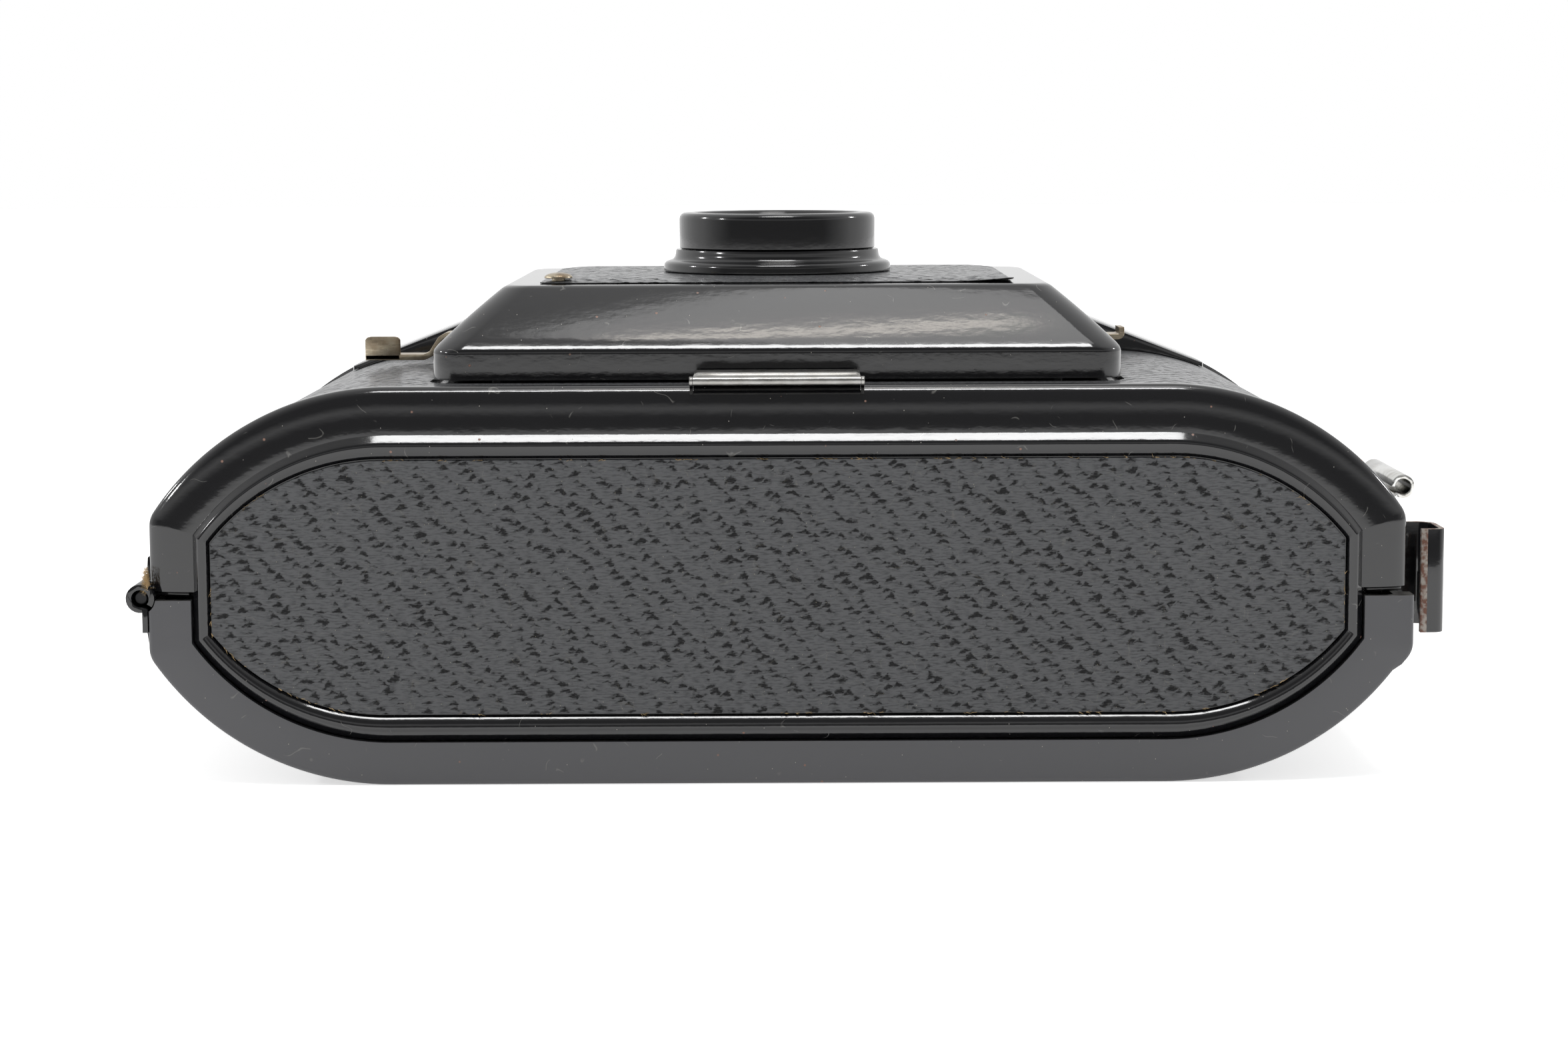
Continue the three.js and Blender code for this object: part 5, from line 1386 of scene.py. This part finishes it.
# %% Winding knob
KNOB_X = 52
KNOB_RIBS = 24
KNOB_POINTS = KNOB_RIBS * 8
RIB = 0.35


def knob_ring(radius, y, depth=0.0):
    """A round at one height, milled to a depth."""
    ring = []
    for i in range(KNOB_POINTS):
        angle = 2 * math.pi * i / KNOB_POINTS
        reach = radius - depth * (0.5 - 0.5 * math.cos(angle * KNOB_RIBS)) ** 0.8
        ring.append((KNOB_X + reach * math.cos(angle), y, MIDDLE + reach * math.sin(angle)))
    return ring


knob_steps = [(1.55, 46.1), (8, 46.1), (8.75, 46.3, RIB), (9, 46.8, RIB), (9, 51.8, RIB)]
knob_steps += [(8.75, 52.3, RIB), (8.1, 52.5), (6.6, 52.5), (6.3, 52.3), (2.5, 52.15)]
knob_steps += [(0.4, 52.12), (0.4, 49.4), (1.55, 49.4), (1.55, 46.1)]
knob = stack("milled_knob", [knob_ring(*step) for step in knob_steps], rubbed_nickel, False)
stands_for(knob, "winder", "bright_nickel", "wind_knob")

# %% [markdown]
# ## What keeps its CAD shape
#
# Inside parts and small fittings are right as they are. Each only gets its real finish.

# %% Finishes of the CAD nodes
plain_finishes = [
    (gloss_enamel, "front_shell"),
    (inside_black, "film_frame front_tube tube_collar takeup_spool pressure_plate shutter_blade"),
    (aged_nickel, "latch_keeper latch_bracket knob_bush"),
    (bright_nickel, "film_roller_left film_roller_right wind_shaft"),
    (bare_steel, "supply_stud_bottom supply_stud_top takeup_stud_bottom latch_pin shutter_pin"),
    (bare_steel, "lever_pin lever_spring pressure_spring"),
    (clear_glass, "finder_front_lens finder_rear_lens"),
    (red_celluloid, "red_window_left red_window_right"),
]
for material, names in plain_finishes:
    for name in names.split():
        for slot in nodes[name].material_slots:
            slot.material = material
    print(material.name, "on", names)

# %% [markdown]
# ## Floor, sky and lamps
#
# The floor is matt white. What the camera sees of it, straight, in a reflection or through glass,
# also glows a little, so that it reads as pure white while the shadow under the round sides stays.
# The sky is a white studio. Only its side behind the photographer is dark, with one band of window
# light in it, because enamel shows what stands round it: the near face mirrors that side, and the
# tops of the shoulders mirror the bright end of the room.

# %% Floor
FLOOR_HALF = 3000
FLOOR_GLOW = 0.6
paper = bpy.data.materials.new("white_paper")
paper.use_nodes = True
paper_tree = paper.node_tree
paper_tree.nodes.remove(paper_tree.nodes["Principled BSDF"])
matt = add(paper_tree, "ShaderNodeBsdfDiffuse", {"Color": linear("#f2f2f2")}).outputs["BSDF"]
rays = add(paper_tree, "ShaderNodeLightPath").outputs
seen = combine(paper_tree, "MAXIMUM", rays["Is Camera Ray"], rays["Is Glossy Ray"])
seen = combine(paper_tree, "MAXIMUM", seen, rays["Is Transmission Ray"])
glow = add(paper_tree, "ShaderNodeEmission", {"Strength": times(paper_tree, seen, FLOOR_GLOW)})
both = add(paper_tree, "ShaderNodeAddShader", {0: matt, 1: glow.outputs["Emission"]})
surface = paper_tree.nodes["Material Output"].inputs["Surface"]
paper_tree.links.new(both.outputs["Shader"], surface)
floor = block((-FLOOR_HALF, -FLOOR_HALF, -2.03), (FLOOR_HALF, FLOOR_HALF, -0.03), "floor", paper)
print("floor:", 2 * FLOOR_HALF, "mm square")

# %% Sky
ROOM_LEVEL = 0.22
WINDOW_LEVEL = 0.65
sky = bpy.data.worlds.new("studio")
sky.use_nodes = True
sky_tree = sky.node_tree
way = add(sky_tree, "ShaderNodeTexCoord").outputs["Generated"]
heading = add(sky_tree, "ShaderNodeSeparateXYZ", {"Vector": way}).outputs
behind_camera = between(sky_tree, heading["Y"], 0.1, -0.55)
window_low = between(sky_tree, heading["Z"], 0.2, 0.34)
window_high = between(sky_tree, heading["Z"], 0.5, 0.36)
window_light = times(sky_tree, times(sky_tree, window_low, window_high), WINDOW_LEVEL)
gloom = minus(sky_tree, 1.0, plus(sky_tree, window_light, ROOM_LEVEL))
tone = minus(sky_tree, 1.0, times(sky_tree, behind_camera, gloom))
rays = add(sky_tree, "ShaderNodeLightPath").outputs
seen = combine(sky_tree, "MAXIMUM", rays["Is Camera Ray"], rays["Is Transmission Ray"])
backdrop = sky_tree.nodes["Background"]
backdrop.inputs["Color"].default_value = linear("#ffffff")
sky_tree.links.new(combine(sky_tree, "MAXIMUM", tone, seen), backdrop.inputs["Strength"])
bpy.context.scene.world = sky
print("sky: levels", ROOM_LEVEL, WINDOW_LEVEL)


# %% Lamps
def lamp(name, where, aim, size, watts):
    """A soft oblong lamp at a place in millimetres, turned to its aim."""
    data = bpy.data.lights.new(name, "AREA")
    data.shape = "RECTANGLE"
    data.size = size[0] * MM
    data.size_y = size[1] * MM
    data.energy = watts
    rig = bpy.data.objects.new(name, data)
    bpy.context.scene.collection.objects.link(rig)
    rig.location = Vector(where) * MM
    rig.rotation_euler = (Vector(aim) - Vector(where)).to_track_quat("-Z", "Y").to_euler()
    print("lamp:", name, watts, "W")
    return rig


lamp("ceiling_bank", (0, -300, 890), (0, 0, 20), (400, 120), 2.6)
lamp("ceiling_soft", (75, -95, 905), (0, -40, 20), (270, 330), 0.66)
warm = lamp("ceiling_tube", (18, -97, 895), (0, -40, 20), (207, 20), 0.12)
warm.data.color = (1.0, 0.93, 0.82)
lamp("left_front", (-808, -263, 450), (0, 0, 50), (60, 60), 0.9)
lamp("left_back", (-834, 162, 450), (0, 0, 50), (60, 60), 0.9)
lamp("right_back", (817, 234, 450), (0, 0, 50), (60, 60), 0.9)

# %% Finish
scene = bpy.context.scene
scene.view_settings.view_transform = "Standard"
